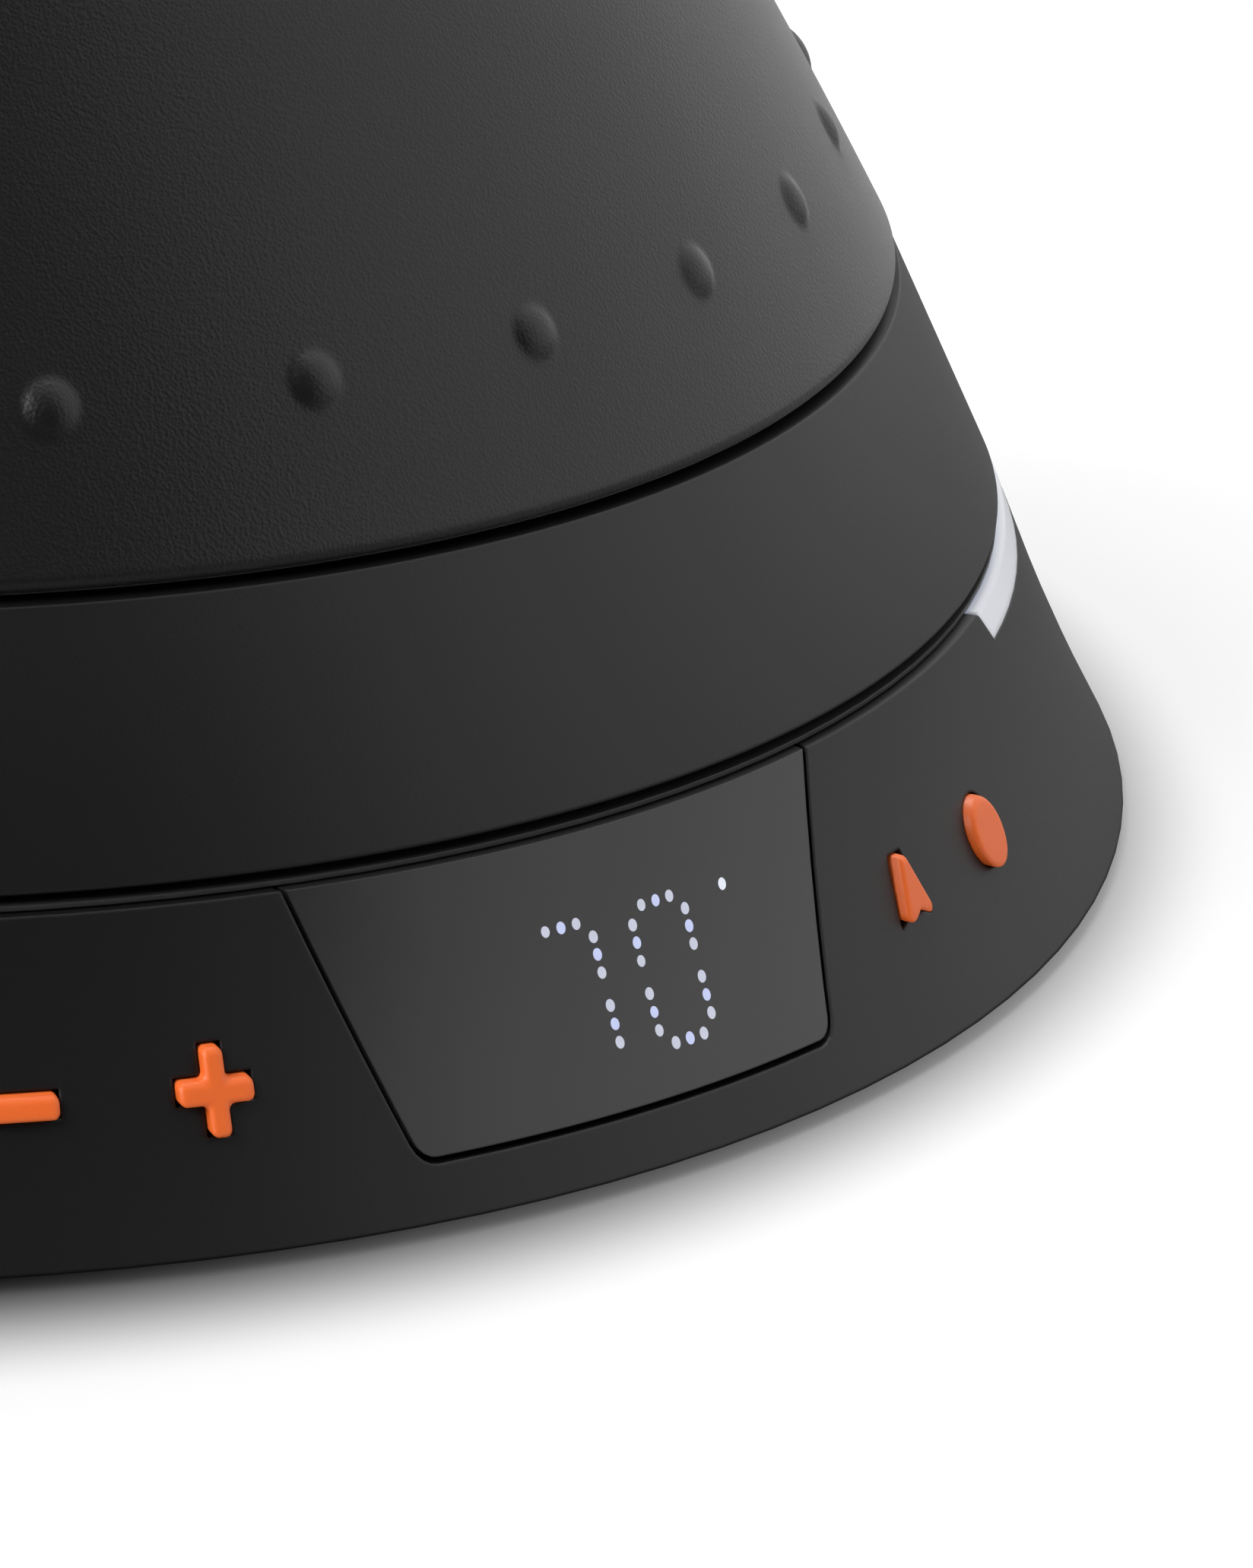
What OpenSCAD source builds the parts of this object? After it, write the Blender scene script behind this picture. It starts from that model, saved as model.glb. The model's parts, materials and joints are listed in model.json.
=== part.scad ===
// Electric gooseneck kettle on a swivel power base.
// Millimetres, +Z up. The origin is the middle of the foot ring, at the surface it stands on.
// The display faces -Y, the spout points to -X and the handle to +X.

/* [Power base] */
// Radius of the base at its bottom edge
base_bottom_r = 90; // [80:1:110]
// Radius of the base at its top rim
base_top_r = 81.4; // [76:0.2:88]
// Height of the base shell from bottom edge to rim
base_h = 17; // [16:0.05:22]
// How far the side of the base curves inwards at mid height
base_flare = 0.4; // [0:0.1:1]
// Wall of the base shell, measured level
base_wall = 2.4; // [2:0.1:3]
// Distance of the deck below the rim
deck_drop = 1.3; // [0.5:0.05:2]
// Thickness of the deck
deck_t = 2; // [1.5:0.1:3]
// Thickness of the bottom cover of the base
cover_t = 2; // [1.8:0.1:3]
// Height of the bottom edge above the table
foot_proud = 0.8; // [0.5:0.1:3]
// Distance of the rubber foot ring inside the bottom edge
foot_inset = 12; // [8:1:14]
// Width of the rubber foot ring
foot_w = 8; // [4:0.5:12]
// Distance of the case screws inside the foot ring
post_inset = 10; // [8:0.5:13]
// Radius of a screw post under the deck
post_r = 3.6; // [3:0.1:5]

/* [Display] */
// Half width of the window at the rim
window_top_half = 19.4; // [17:0.1:21]
// Half width of the window at its lower edge
window_low_half = 15.4; // [14.5:0.1:17]
// Height of the window's lower edge above the bottom edge of the base
window_low = 3.05; // [2.4:0.05:4]
// Corner radius at the window's lower edge
window_corner_r = 1.2; // [0.5:0.1:2]
// Thickness of the window, measured level
window_t = 1.3; // [1:0.1:1.5]
// Gap around the window
window_gap = 0.35; // [0.2:0.05:0.6]
// Distance between the middles of two digits
digit_pitch = 7.2; // [6.5:0.1:8]
// Distance between the two dot columns of a digit
digit_w = 4.2; // [3.6:0.1:4.8]
// Height of a digit between its top and bottom dots
digit_h = 7.04; // [6:0.02:8]
// Diameter of a light dot
dot_d = 0.7; // [0.5:0.05:0.9]
// Distance between dots in a level stroke
dot_step_x = 1.12; // [1:0.02:1.3]
// Distance between dots in an upright stroke
dot_step_z = 0.92; // [0.8:0.02:1]
// Height of the middle of the digits above the bottom edge
digit_mid = 9; // [8.5:0.05:10]

/* [Buttons] */
// Angle from the display to the inner buttons
inner_button_angle = 17.75; // [16.5:0.05:19]
// Angle from the display to the outer buttons
outer_button_angle = 25.1; // [24:0.1:30]
// Height of the middle of the buttons above the bottom edge
button_mid = 7.9; // [7.5:0.1:8.5]
// Width and height of the plus, and length of the minus
button_size = 4.35; // [3.8:0.05:4.8]
// Width of the strokes of the plus and the minus
button_bar = 1.2; // [1:0.05:1.8]
// Diameter of the round button
round_d = 3.9; // [3.6:0.1:4.8]
// Width of the arrow button
arrow_w = 3.4; // [3:0.1:4.4]
// Height of the arrow button
arrow_h = 3.6; // [3:0.1:4.6]
// Depth of the notch in the foot of the arrow
arrow_notch = 0.7; // [0.4:0.1:1.4]
// How far a button stands out of the base
button_proud = 0.7; // [0.5:0.05:1.2]
// Corner radius of the buttons
button_corner_r = 0.4; // [0.2:0.05:0.6]
// How far a button can be pressed
button_travel = 0.4; // [0.2:0.05:0.45]
// Gap around a button
button_gap = 0.12; // [0.08:0.02:0.3]

/* [Light strip] */
// Angle from the handle side to each end of the light strip
strip_half_angle = 56; // [20:1:58]
// Depth of the light strip below the rim
strip_h = 2.1; // [1.2:0.05:2.3]
// Radius of the rounding at the floor of the strip's notch
strip_end_r = 0.45; // [0.2:0.05:0.5]
// Radius of the rounding where the strip's notch leaves the rim
strip_rim_r = 1.2; // [0.4:0.1:1.6]

/* [Swivel ring and seams] */
// Gap between the base's rim and the kettle's lower edge
swivel_gap = 0.94; // [0.9:0.01:2]
// Thickness of the swivel ring's visible lip
ring_lip_t = 0.3; // [0.2:0.05:0.35]
// How far the kettle's lower edge stands above its seat on the ring
ring_drop = 0.54; // [0.4:0.02:0.6]
// Gap between the skirt band and the kettle body
body_seam = 0.36; // [0.2:0.02:0.8]

/* [Kettle] */
// How far the skirt band's lower edge lies inside the base's rim
band_low_inset = 0.48; // [0:0.01:3]
// How far the skirt band's upper edge lies inside the body's foot
band_top_inset = 0.1; // [0:0.1:1]
// Height of the skirt band
band_h = 13.8; // [13.5:0.1:20]
// Wall of the skirt band, measured level
band_wall = 2.2; // [1.8:0.1:3]
// Radius that the body's side would have at its foot
body_foot_r = 73.9; // [71:0.1:77]
// Lean of the body's side at its foot, in degrees
body_lean = 29.8; // [26:0.1:33]
// Radius of the long curve of the body's side
body_curve_r = 450; // [300:10:600]
// Radius of the rounded lower edge of the body
body_edge_r = 0.7; // [0.5:0.1:1.2]
// Width of the flat ring under the body's foot, with its rounded edge
body_foot_w = 4.19; // [4:0.01:4.4]
// Radius of the body at the neck
neck_r = 29; // [27:0.5:34]
// Wall of the outer body, measured level
body_wall = 2.8; // [2:0.1:3.5]
// Wall of the steel vessel, measured level
vessel_wall = 0.9; // [0.6:0.1:1.5]
// Thickness of the vessel's floor
vessel_floor_t = 0.8; // [0.6:0.1:1.5]
// Number of studs around the body
stud_count = 27; // [18:1:30]
// Height of the ring of studs above the foot of the body
stud_z = 8.95; // [7:0.05:14]
// Radius of a stud
stud_r = 1.65; // [1.2:0.05:2.4]
// Height of a stud's dome
stud_h = 0.45; // [0.3:0.05:0.9]
// Angle of the first stud from the display
stud_start = -7.85; // [-15:0.05:15]

/* [Heater and connector] */
// Height of the gap between the vessel's heater plate and the bottom cover
heater_bay_h = 7.1; // [7:0.1:12]
// Thickness of the heater plate
heater_plate_t = 3; // [2:0.1:4]
// Radius of the heater plate
heater_plate_r = 56; // [54:1:58]
// Radius of the heating element's ring
element_ring_r = 44; // [36:1:46]
// Radius of the heating element's tube
element_tube_r = 3.2; // [2.5:0.1:3.4]
// Radius of the connector boss on the base
connector_r = 13; // [12.5:0.5:15]
// Height of the connector boss above the deck
connector_h = 7.2; // [6:0.1:7.5]

/* [Spout] */
// Height of the spout's root above the foot of the body
spout_root_up = 13.1; // [10:0.1:18]
// Distance of the spout's root inside the body's foot radius
spout_root_inset = 19.9; // [17:0.1:24]
// Rise of the spout's root, in degrees
spout_root_rise = 25; // [15:1:32]
// Length of the tapered root
spout_root_l = 32; // [28:1:40]
// Radius of the root where it leaves the body
spout_root_r = 9.5; // [8:0.5:11]
// Radius of the gooseneck tube
spout_r = 5.5; // [4.8:0.1:6.5]
// Wall of the spout
spout_wall = 1; // [0.8:0.1:1.2]
// Radius of the lower bend
spout_bend1_r = 30; // [24:1:40]
// Steepness of the upright run, in degrees
spout_rise = 78; // [70:1:86]
// Length of the upright run
spout_run = 22; // [16:1:30]
// Radius of the upper bend
spout_bend2_r = 26; // [20:1:34]
// Rise of the tip, in degrees
spout_tip_rise = 5; // [0:1:20]
// Length of the straight tip
spout_tip_l = 10; // [8:1:16]
// Length of the lip at the spout's mouth
spout_lip_l = 4; // [3:0.5:6]
// How far the lip stands out around the tube
spout_lip_t = 0.5; // [0.3:0.1:1]

/* [Handle] */
// Depth of the arm's start below the neck
arm_drop = 9.471; // [8:0.1:13]
// Depth of the arm's start inside the body's side
arm_inset = 3.684; // [3:0.1:6]
// Rise of the arm, in degrees
arm_rise = 18; // [10:1:24]
// Length of the arm
arm_l = 46; // [42:1:52]
// Width of the arm
arm_w = 14; // [12:1:16]
// Height of the arm's section
arm_h = 8; // [7:0.5:10]
// Radius of the handle's bend
grip_bend_r = 20; // [18:1:26]
// Slope of the grip, in degrees below level
grip_drop = 82; // [74:1:90]
// Length of the straight part of the grip
grip_l = 38; // [30:1:40]
// Width of the grip
grip_w = 20; // [17:0.5:24]
// Depth of the grip's section
grip_d = 15; // [13:0.5:18]

/* [Lid] */
// Thickness of the neck ring
neck_ring_t = 1.5; // [1:0.1:2.5]
// Height of the lid's dome
lid_h = 6.2; // [5:0.1:9]
// Wall of the lid
lid_wall = 1.5; // [1.2:0.1:2]
// Depth of the lid's plug in the neck
plug_h = 9; // [6:0.5:12]
// Radius of the knob
knob_r = 11; // [9:0.5:13]
// Height of the knob's stem
knob_stem_h = 4; // [3:0.5:6]
// Height of the knob's head
knob_head_h = 8; // [6:0.5:10]
// Radius of the knob's stem
knob_stem_r = 5; // [4.5:0.5:7]

/* [Clearances] */
// Gap beside parts that are set into one another
fit_gap = 0.2; // [0.1:0.05:0.3]
// Gap around parts that turn or slide
run_gap = 0.3; // [0.2:0.05:0.4]

/* [Hidden] */
$fn = 96;
eps = 0.01;
far = 400;

// heights in the base
base_z0 = foot_proud;
base_z1 = base_z0 + base_h;
deck_z1 = base_z1 - deck_drop;
deck_z0 = deck_z1 - deck_t;
cover_lift = 0.2;
cover_z0 = base_z0 + cover_lift;
cover_z1 = cover_z0 + cover_t;
ledge_t = 1.2;
ledge_z0 = deck_z0 - ledge_t;
ledge_r = base_top_r - 5.3;
base_reach = max(base_bottom_r, base_top_r) + 2;
button_z = base_z0 + button_mid;

// heights in the kettle
band_z0 = base_z1 + swivel_gap;
band_z1 = band_z0 + band_h;
ring_z1 = band_z0 - ring_drop;
bottom_cover_t = 2;
bottom_cover_z1 = ring_z1 + bottom_cover_t;
plate_z0 = bottom_cover_z1 + heater_bay_h;
vessel_z0 = plate_z0 + heater_plate_t;
body_z0 = band_z1 + body_seam;
band_low_r = base_top_r - band_low_inset;
band_top_r = body_foot_r - band_top_inset;

// the long curve of the body's side
body_curve_x = body_foot_r - body_curve_r * cos(body_lean);
body_curve_z = body_z0 - body_curve_r * sin(body_lean);
neck_z = body_z(neck_r);
neck_ring_z1 = neck_z + neck_ring_t;

// level radii of the outer surfaces at a height
function base_r(z) = let (t = (z - base_z0) / base_h)
    base_bottom_r + (base_top_r - base_bottom_r) * t - 4 * base_flare * t * (1 - t);
function band_r(z) = band_low_r + (band_top_r - band_low_r) * (z - band_z0) / band_h;
function body_r(z) = body_curve_x + sqrt(pow(body_curve_r, 2) - pow(z - body_curve_z, 2));
// height at which the body's side has a level radius, and its lean at a height
function body_z(r) = body_curve_z + sqrt(pow(body_curve_r, 2) - pow(r - body_curve_x, 2));
function lean_at(z) = asin((z - body_curve_z) / body_curve_r);

function steps(a, b, n) = [for (i = [0 : n]) a + (b - a) * i / n];
function reversed(v) = [for (i = [len(v) - 1 : -1 : 0]) v[i]];
function arc(x, z, r, a0, a1, n = 6) = [for (a = steps(a0, a1, n)) [x + r * cos(a), z + r * sin(a)]];

// corner i of an outline, as an arc of radius r that touches both of its sides
function corner(p, i, r, n = 4) = let (
    n_p = len(p),
    here = p[i],
    u = p[(i + n_p - 1) % n_p] - here,
    v = p[(i + 1) % n_p] - here,
    a = u / norm(u),
    b = v / norm(v),
    half = acos(a * b) / 2,
    middle = here + (a + b) / norm(a + b) * r / sin(half),
    from = here + a * r / tan(half) - middle,
    to = here + b * r / tan(half) - middle,
    swing = 180 - 2 * half
) [for (t = steps(0, 1, n)) middle + (from * sin((1 - t) * swing) + to * sin(t * swing)) / sin(swing)];
function rounded(p, r) = [for (i = [0 : len(p) - 1]) each corner(p, i, r)];

module turned(outline) {
    rotate_extrude() polygon(outline);
}

// a ring between two radii and two heights
module ring(r0, r1, z0, z1) {
    translate([0, 0, z0]) difference() {
        cylinder(h = z1 - z0, r = r1);
        translate([0, 0, -1]) cylinder(h = z1 - z0 + 2, r = r0);
    }
}

// a length of a ring, from one angle to another, counted from the display towards the handle
module ring_sector(outline, from, to) {
    rotate([0, 0, from - 90]) rotate_extrude(angle = to - from) polygon(outline);
}
function box_outline(r0, r1, z0, z1) = [[r0, z0], [r1, z0], [r1, z1], [r0, z1]];

// wall of the base between two depths below its surface and two heights
function base_wall_outline(d0, d1, z0, z1, n = 6) = concat(
    [for (z = steps(z0, z1, n)) [base_r(z) - d0, z]],
    [for (z = steps(z1, z0, n)) [base_r(z) - d1, z]]);

// everything inside a depth below the base's surface
function base_solid_outline(d, z0, z1, n = 8) = concat(
    [[0, z0]], [for (z = steps(z0, z1, n)) [base_r(z) - d, z]], [[0, z1]]);

// everything inside a depth below the body's surface, with the same heights for all depths
body_steps = 14;
function body_side(d) = [for (z = steps(body_z0, neck_z, body_steps)) [body_r(z) - d, z]];
module body_solid(d) {
    turned(concat([[0, body_z0 - 20], [body_foot_r - d + 10, body_z0 - 20]], body_side(d), [[0, neck_z]]));
}

// an outline pushed outwards, level, at an angle from the display
module outward(angle, from, to) {
    rotate([0, 0, angle]) translate([0, -from, 0]) rotate([90, 0, 0])
        linear_extrude(height = to - from) children();
}

// ---- power base ----

function window_outline(g) = let (
    lean = (window_top_half - window_low_half) / (base_h - window_low),
    low = base_z0 + window_low - g,
    high = base_z1 + 2
) [
    [-(window_low_half + g - lean * g), low], [window_low_half + g - lean * g, low],
    [window_top_half + g + lean * 2, high], [-(window_top_half + g + lean * 2), high]
];
function window_rounded(g) = let (p = window_outline(g), r = window_corner_r + g)
    concat(corner(p, 0, r), corner(p, 1, r), [p[2], p[3]]);

// the opening behind the window, through which the digits are seen
sight_margin = 1.3;
sight_half = 1.5 * digit_pitch + digit_w / 2 + sight_margin;
sight_z0 = base_z0 + digit_mid - digit_h / 2 - sight_margin;
sight_z1 = deck_z0 - fit_gap;
module sight_outline(g) {
    translate([-sight_half - g, sight_z0 - g]) square([2 * (sight_half + g), sight_z1 - sight_z0 + 2 * g]);
}

function bar(w, h) = [[-w / 2, -h / 2], [w / 2, -h / 2], [w / 2, h / 2], [-w / 2, h / 2]];
function plus(s, b) = let (a = s / 2, c = b / 2) [
    [-c, -a], [c, -a], [c, -c], [a, -c], [a, c], [c, c],
    [c, a], [-c, a], [-c, c], [-a, c], [-a, -c], [-c, -c]
];
function arrow(w, h, tip, notch) = [
    [0, -h / 2 + notch], [w / 2, -h / 2], [tip, h / 2], [-tip, h / 2], [-w / 2, -h / 2]
];

button_angles = [-outer_button_angle, -inner_button_angle, inner_button_angle, outer_button_angle];
hole_corner_r = 0.08;
arrow_tip = 0.65;
module button_outline(i, g, r) {
    if (i == 0) polygon(rounded(bar(button_size + 2 * g, button_bar + 2 * g), r));
    if (i == 1) polygon(rounded(plus(button_size + 2 * g, button_bar + 2 * g), r));
    if (i == 2) polygon(rounded(arrow(arrow_w + 3 * g, arrow_h + 2 * g, arrow_tip + g, arrow_notch), r));
    if (i == 3) circle(d = round_d + 2 * g);
}

// radii behind the buttons: flange, switch plunger, switch body, flexible circuit and carrier
flange_margin = 0.9;
flange_d = base_wall + 0.15;
flange_t = 0.85;
plunger_r = 1;
plunger_r1 = base_r(button_z + plunger_r) - flange_d - flange_t - button_travel - 0.1;
plunger_l = 1.3;
switch_r1 = plunger_r1 - plunger_l;
switch_t = 1.8;
switch_h = 4;
flex_r1 = switch_r1 - switch_t;
flex_t = 0.4;
carrier_r1 = flex_r1 - flex_t;
carrier_t = 1.6;
carrier_margin = 3.4;
carrier_z1 = button_z + 3.6;

handle_side = 90;
strip_from = handle_side - strip_half_angle;
strip_to = handle_side + strip_half_angle;
strip_z0 = base_z1 - strip_h;
guide_r0 = ledge_r + 2.2;
guide_r1 = guide_r0 + 1.6;
guide_drop = 1.7;
guide_z0 = deck_z0 - guide_drop;
guide_z1 = base_z1 - 0.05;

// one end of the strip's notch: a soft step from the rim down to the notch's floor
notch_slope = 1.7;
notch_reach = 2;
module notch_end(angle, way, gap = 0) {
    above = base_z1 + 3;
    rim = base_z1 + eps;
    p = [[-6, above], [-6, rim], [-notch_slope, rim], [0, strip_z0], [3, strip_z0], [3, above]];
    outline = concat([p[0], p[1]], corner(p, 2, strip_rim_r, 8), corner(p, 3, strip_end_r, 6), [p[4], p[5]]);
    outward(angle, ledge_r + 1.5, base_reach) scale([way, 1]) translate([gap, 0]) polygon(outline);
}

gland_z = base_z0 + 7.4;
gland_r = 4.6;
gland_in = base_r(gland_z) - base_wall - 10;
gland_out = base_r(gland_z) + 2.85;
gland_flange_t = 3;
cord_hole_r = 3.4;
module base_shell() {
    color([0.13, 0.13, 0.135]) difference() {
        union() {
            turned(base_wall_outline(0, base_wall, base_z0, base_z1));
            ring(ledge_r, base_r(deck_z0) - base_wall + 0.5, ledge_z0, deck_z0);
        }
        intersection() {
            outward(0, 0, far) polygon(window_rounded(window_gap));
            turned(base_wall_outline(-5, window_t + fit_gap, base_z0, base_z1 + eps));
        }
        outward(0, 0, far) sight_outline(fit_gap);
        for (i = [0 : 3]) outward(button_angles[i], base_top_r - 8, base_reach)
            translate([0, button_z]) button_outline(i, button_gap, hole_corner_r);
        ring_sector(box_outline(ledge_r - 2, base_reach, strip_z0, base_z1 + 1), strip_from, strip_to);
        notch_end(strip_from, 1);
        notch_end(strip_to, -1);
        ring_sector(box_outline(ledge_r - 1, guide_r1 + fit_gap, guide_z0 - 2, base_z1),
            strip_from, strip_to);
        translate([0, gland_in - 1, gland_z]) rotate([-90, 0, 0]) cylinder(h = 40, r = gland_r + fit_gap);
    }
}

deck_r = base_r(deck_z1) - base_wall - fit_gap;
screw_r = 1.5;
post_angles = [15, 165, 225, 315];
foot_out_r = base_bottom_r - foot_inset;
foot_in_r = foot_out_r - foot_w;
post_circle_r = foot_in_r - post_inset;
module base_deck() {
    color([0.1, 0.1, 0.1]) difference() {
        union() {
            ring(connector_r + fit_gap, deck_r, deck_z0, deck_z1);
            for (a = post_angles) rotate([0, 0, a]) translate([post_circle_r, 0, cover_z1])
                cylinder(h = deck_z0 - cover_z1 + eps, r = post_r);
        }
        for (a = post_angles) rotate([0, 0, a]) translate([post_circle_r, 0, cover_z1 - 1])
            cylinder(h = 10, r = screw_r + 0.1, $fn = 32);
        ring_sector(box_outline(guide_r0 - fit_gap, base_reach, deck_z0 - 1, deck_z1 + 1),
            strip_from - notch_reach, strip_to + notch_reach);
    }
}

cover_r = base_r(cover_z1) - base_wall - fit_gap;
foot_recess = 0.8;
screw_head_r = 2.7;
screw_head_t = 1.1;
board_x = 70;
board_y = 32;
board_y0 = 27;
standoff_h = 3;
board_z0 = cover_z1 + standoff_h;
board_t = 1.6;
module board_corners() {
    for (x = [-1, 1], y = [0, 1])
        translate([x * (board_x / 2 - 4), board_y0 + 4 + y * (board_y - 8), 0]) children();
}
module base_cover() {
    color([0.08, 0.08, 0.08]) difference() {
        union() {
            translate([0, 0, cover_z0]) cylinder(h = cover_t, r = cover_r);
            board_corners() translate([0, 0, cover_z1 - eps]) cylinder(h = standoff_h + eps, r = 2.6);
        }
        ring(foot_in_r - fit_gap, foot_out_r + fit_gap, cover_z0 - 1, cover_z0 + foot_recess);
        for (a = post_angles) rotate([0, 0, a]) translate([post_circle_r, 0, cover_z0 - 1]) {
            cylinder(h = 9, r = screw_r + fit_gap, $fn = 32);
            cylinder(h = 1 + screw_head_t, r = screw_head_r + fit_gap);
        }
    }
}

module foot_ring() {
    color([0.16, 0.16, 0.16]) ring(foot_in_r, foot_out_r, 0, cover_z0 + foot_recess);
}

module screw(head_r, head_t, shank_r, length) {
    difference() {
        union() {
            cylinder(h = head_t, r = head_r, $fn = 32);
            cylinder(h = head_t + length, r = shank_r, $fn = 32);
        }
        for (a = [0, 90]) rotate([0, 0, a])
            translate([-head_r * 0.6, -0.3, -1]) cube([head_r * 1.2, 0.6, 1.6]);
    }
}
base_screw_l = 7;
module base_screws() {
    color([0.6, 0.6, 0.62]) for (a = post_angles) rotate([0, 0, a]) translate([post_circle_r, 0, cover_z0])
        screw(screw_head_r, screw_head_t, screw_r, base_screw_l);
}

module cable_gland() {
    color([0.07, 0.07, 0.07]) translate([0, 0, gland_z]) rotate([-90, 0, 0]) difference() {
        union() {
            translate([0, 0, gland_in]) cylinder(h = gland_out - gland_in, r = gland_r);
            translate([0, 0, gland_in]) cylinder(h = gland_flange_t, r = gland_r + 0.5);
        }
        cylinder(h = 200, r = cord_hole_r);
    }
}

module display_window() {
    color([0.2, 0.2, 0.2]) intersection() {
        outward(0, 0, far) polygon(window_rounded(0));
        turned(base_wall_outline(0.05, window_t, base_z0, base_z1));
    }
}

// places of the light dots, level and upright, in the window's own plane
first_digit_x = -9.98;
digit_centres = [for (i = [0 : 2]) first_digit_x + i * digit_pitch];
function level_dots(x, z) = [for (i = [-1 : 1]) [x + i * dot_step_x, z]];
function upright_dots(x, z) = [for (i = [-1 : 1]) [x, z + i * dot_step_z]];
function digit_dots(x) = let (h = digit_h / 2, w = digit_w / 2) concat(
    level_dots(x, h), level_dots(x, 0), level_dots(x, -h),
    [for (side = [-1, 1], end = [-1, 1]) each upright_dots(x + side * w, end * h / 2)]);
degree_dot = [9.87, 3.2];
all_dots = concat([for (x = digit_centres) each digit_dots(x)], [degree_dot]);
led_board_y = base_top_r - 4.6;
led_d = dot_d;
module display_baffle() {
    color([0.05, 0.05, 0.05]) difference() {
        intersection() {
            outward(0, led_board_y, far) sight_outline(0);
            turned(base_solid_outline(window_t + fit_gap, base_z0, base_z1));
        }
        for (p = all_dots) translate([p[0], 0, base_z0 + digit_mid + p[1]]) rotate([90, 0, 0])
            cylinder(h = far, r = (led_d + 0.12) / 2, $fn = 16);
    }
}
module display_leds() {
    color([0.85, 0.88, 1]) for (p = all_dots) let (
        z = base_z0 + digit_mid + p[1],
        r = base_r(z) - window_t - fit_gap
    ) translate([p[0], -led_board_y, z]) rotate([90, 0, 0])
        cylinder(h = sqrt(r * r - p[0] * p[0]) - led_board_y - 0.25, r = led_d / 2, $fn = 16);
}
led_board_t = 1.6;
module display_board() {
    color([0.05, 0.25, 0.12]) translate([-sight_half, -led_board_y, sight_z0])
        cube([2 * sight_half, led_board_t, sight_z1 - sight_z0]);
}

module button(i) {
    color([0.9, 0.36, 0.14]) {
        intersection() {
            outward(button_angles[i], base_top_r - 12, far) translate([0, button_z])
                button_outline(i, 0, button_corner_r);
            turned(base_wall_outline(-button_proud, flange_d + flange_t, base_z0, base_z1));
        }
        intersection() {
            outward(button_angles[i], base_top_r - 12, far) translate([0, button_z])
                square([button_size, button_size] + 2 * flange_margin * [1, 1], center = true);
            turned(base_wall_outline(flange_d, flange_d + flange_t, base_z0, base_z1));
        }
    }
}
module minus_button() { button(0); }
module plus_button() { button(1); }
module arrow_button() { button(2); }
module round_button() { button(3); }

switch_half_angle = 2;
module button_switches() {
    color([0.2, 0.2, 0.22]) for (a = button_angles) {
        ring_sector(box_outline(flex_r1, switch_r1, button_z - switch_h / 2, button_z + switch_h / 2),
            a - switch_half_angle, a + switch_half_angle);
        outward(a, switch_r1 - 0.2, plunger_r1) translate([0, button_z]) circle(r = plunger_r, $fn = 32);
    }
}
module behind_buttons(r0, r1, z0) {
    for (pair = [[0, 1], [2, 3]])
        ring_sector(box_outline(r0, r1, z0, carrier_z1),
            button_angles[pair[0]] - carrier_margin, button_angles[pair[1]] + carrier_margin);
}
module button_flex() {
    color([0.7, 0.45, 0.1]) behind_buttons(carrier_r1, flex_r1, cover_z1 + 0.5);
}
module switch_carrier() {
    color([0.12, 0.12, 0.12]) behind_buttons(carrier_r1 - carrier_t, carrier_r1, cover_z1);
}

module light_guide() {
    set = 0.05;
    outline = [
        [guide_r0, guide_z0], [guide_r1, guide_z0], [guide_r1, strip_z0],
        [base_r(strip_z0) - set, strip_z0], [base_r(base_z1) - set, guide_z1], [guide_r0, guide_z1]
    ];
    color([0.85, 0.87, 0.92]) intersection() {
        ring_sector(outline, strip_from - notch_reach, strip_to + notch_reach);
        union() {
            ring_sector(box_outline(guide_r0 - 1, base_reach, guide_z0 - 1, base_z1),
                strip_from + 0.1, strip_to - 0.1);
            notch_end(strip_from, 1, 0.1);
            notch_end(strip_to, -1, 0.1);
        }
    }
}
module light_strip_leds() {
    color([0.9, 0.9, 0.8])
        ring_sector(box_outline(guide_r0, guide_r1, guide_z0 - 0.4, guide_z0), strip_from + 2, strip_to - 2);
}

module main_board() {
    color([0.05, 0.3, 0.15]) translate([-board_x / 2, board_y0, board_z0]) cube([board_x, board_y, board_t]);
}
module on_board(x, y) {
    translate([x, board_y0 + y, board_z0 + board_t]) children();
}
part_h = deck_z0 - board_z0 - board_t - 0.5;
module relay() {
    color([0.1, 0.2, 0.5]) on_board(-30, 8) cube([19, 15.5, part_h]);
}
module power_supply() {
    color([0.75, 0.7, 0.2]) on_board(-6, 8) cube([20, 16, part_h]);
}
module buzzer() {
    color([0.05, 0.05, 0.05]) on_board(25, 16) cylinder(h = part_h - 1, r = 5.5);
}

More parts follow.
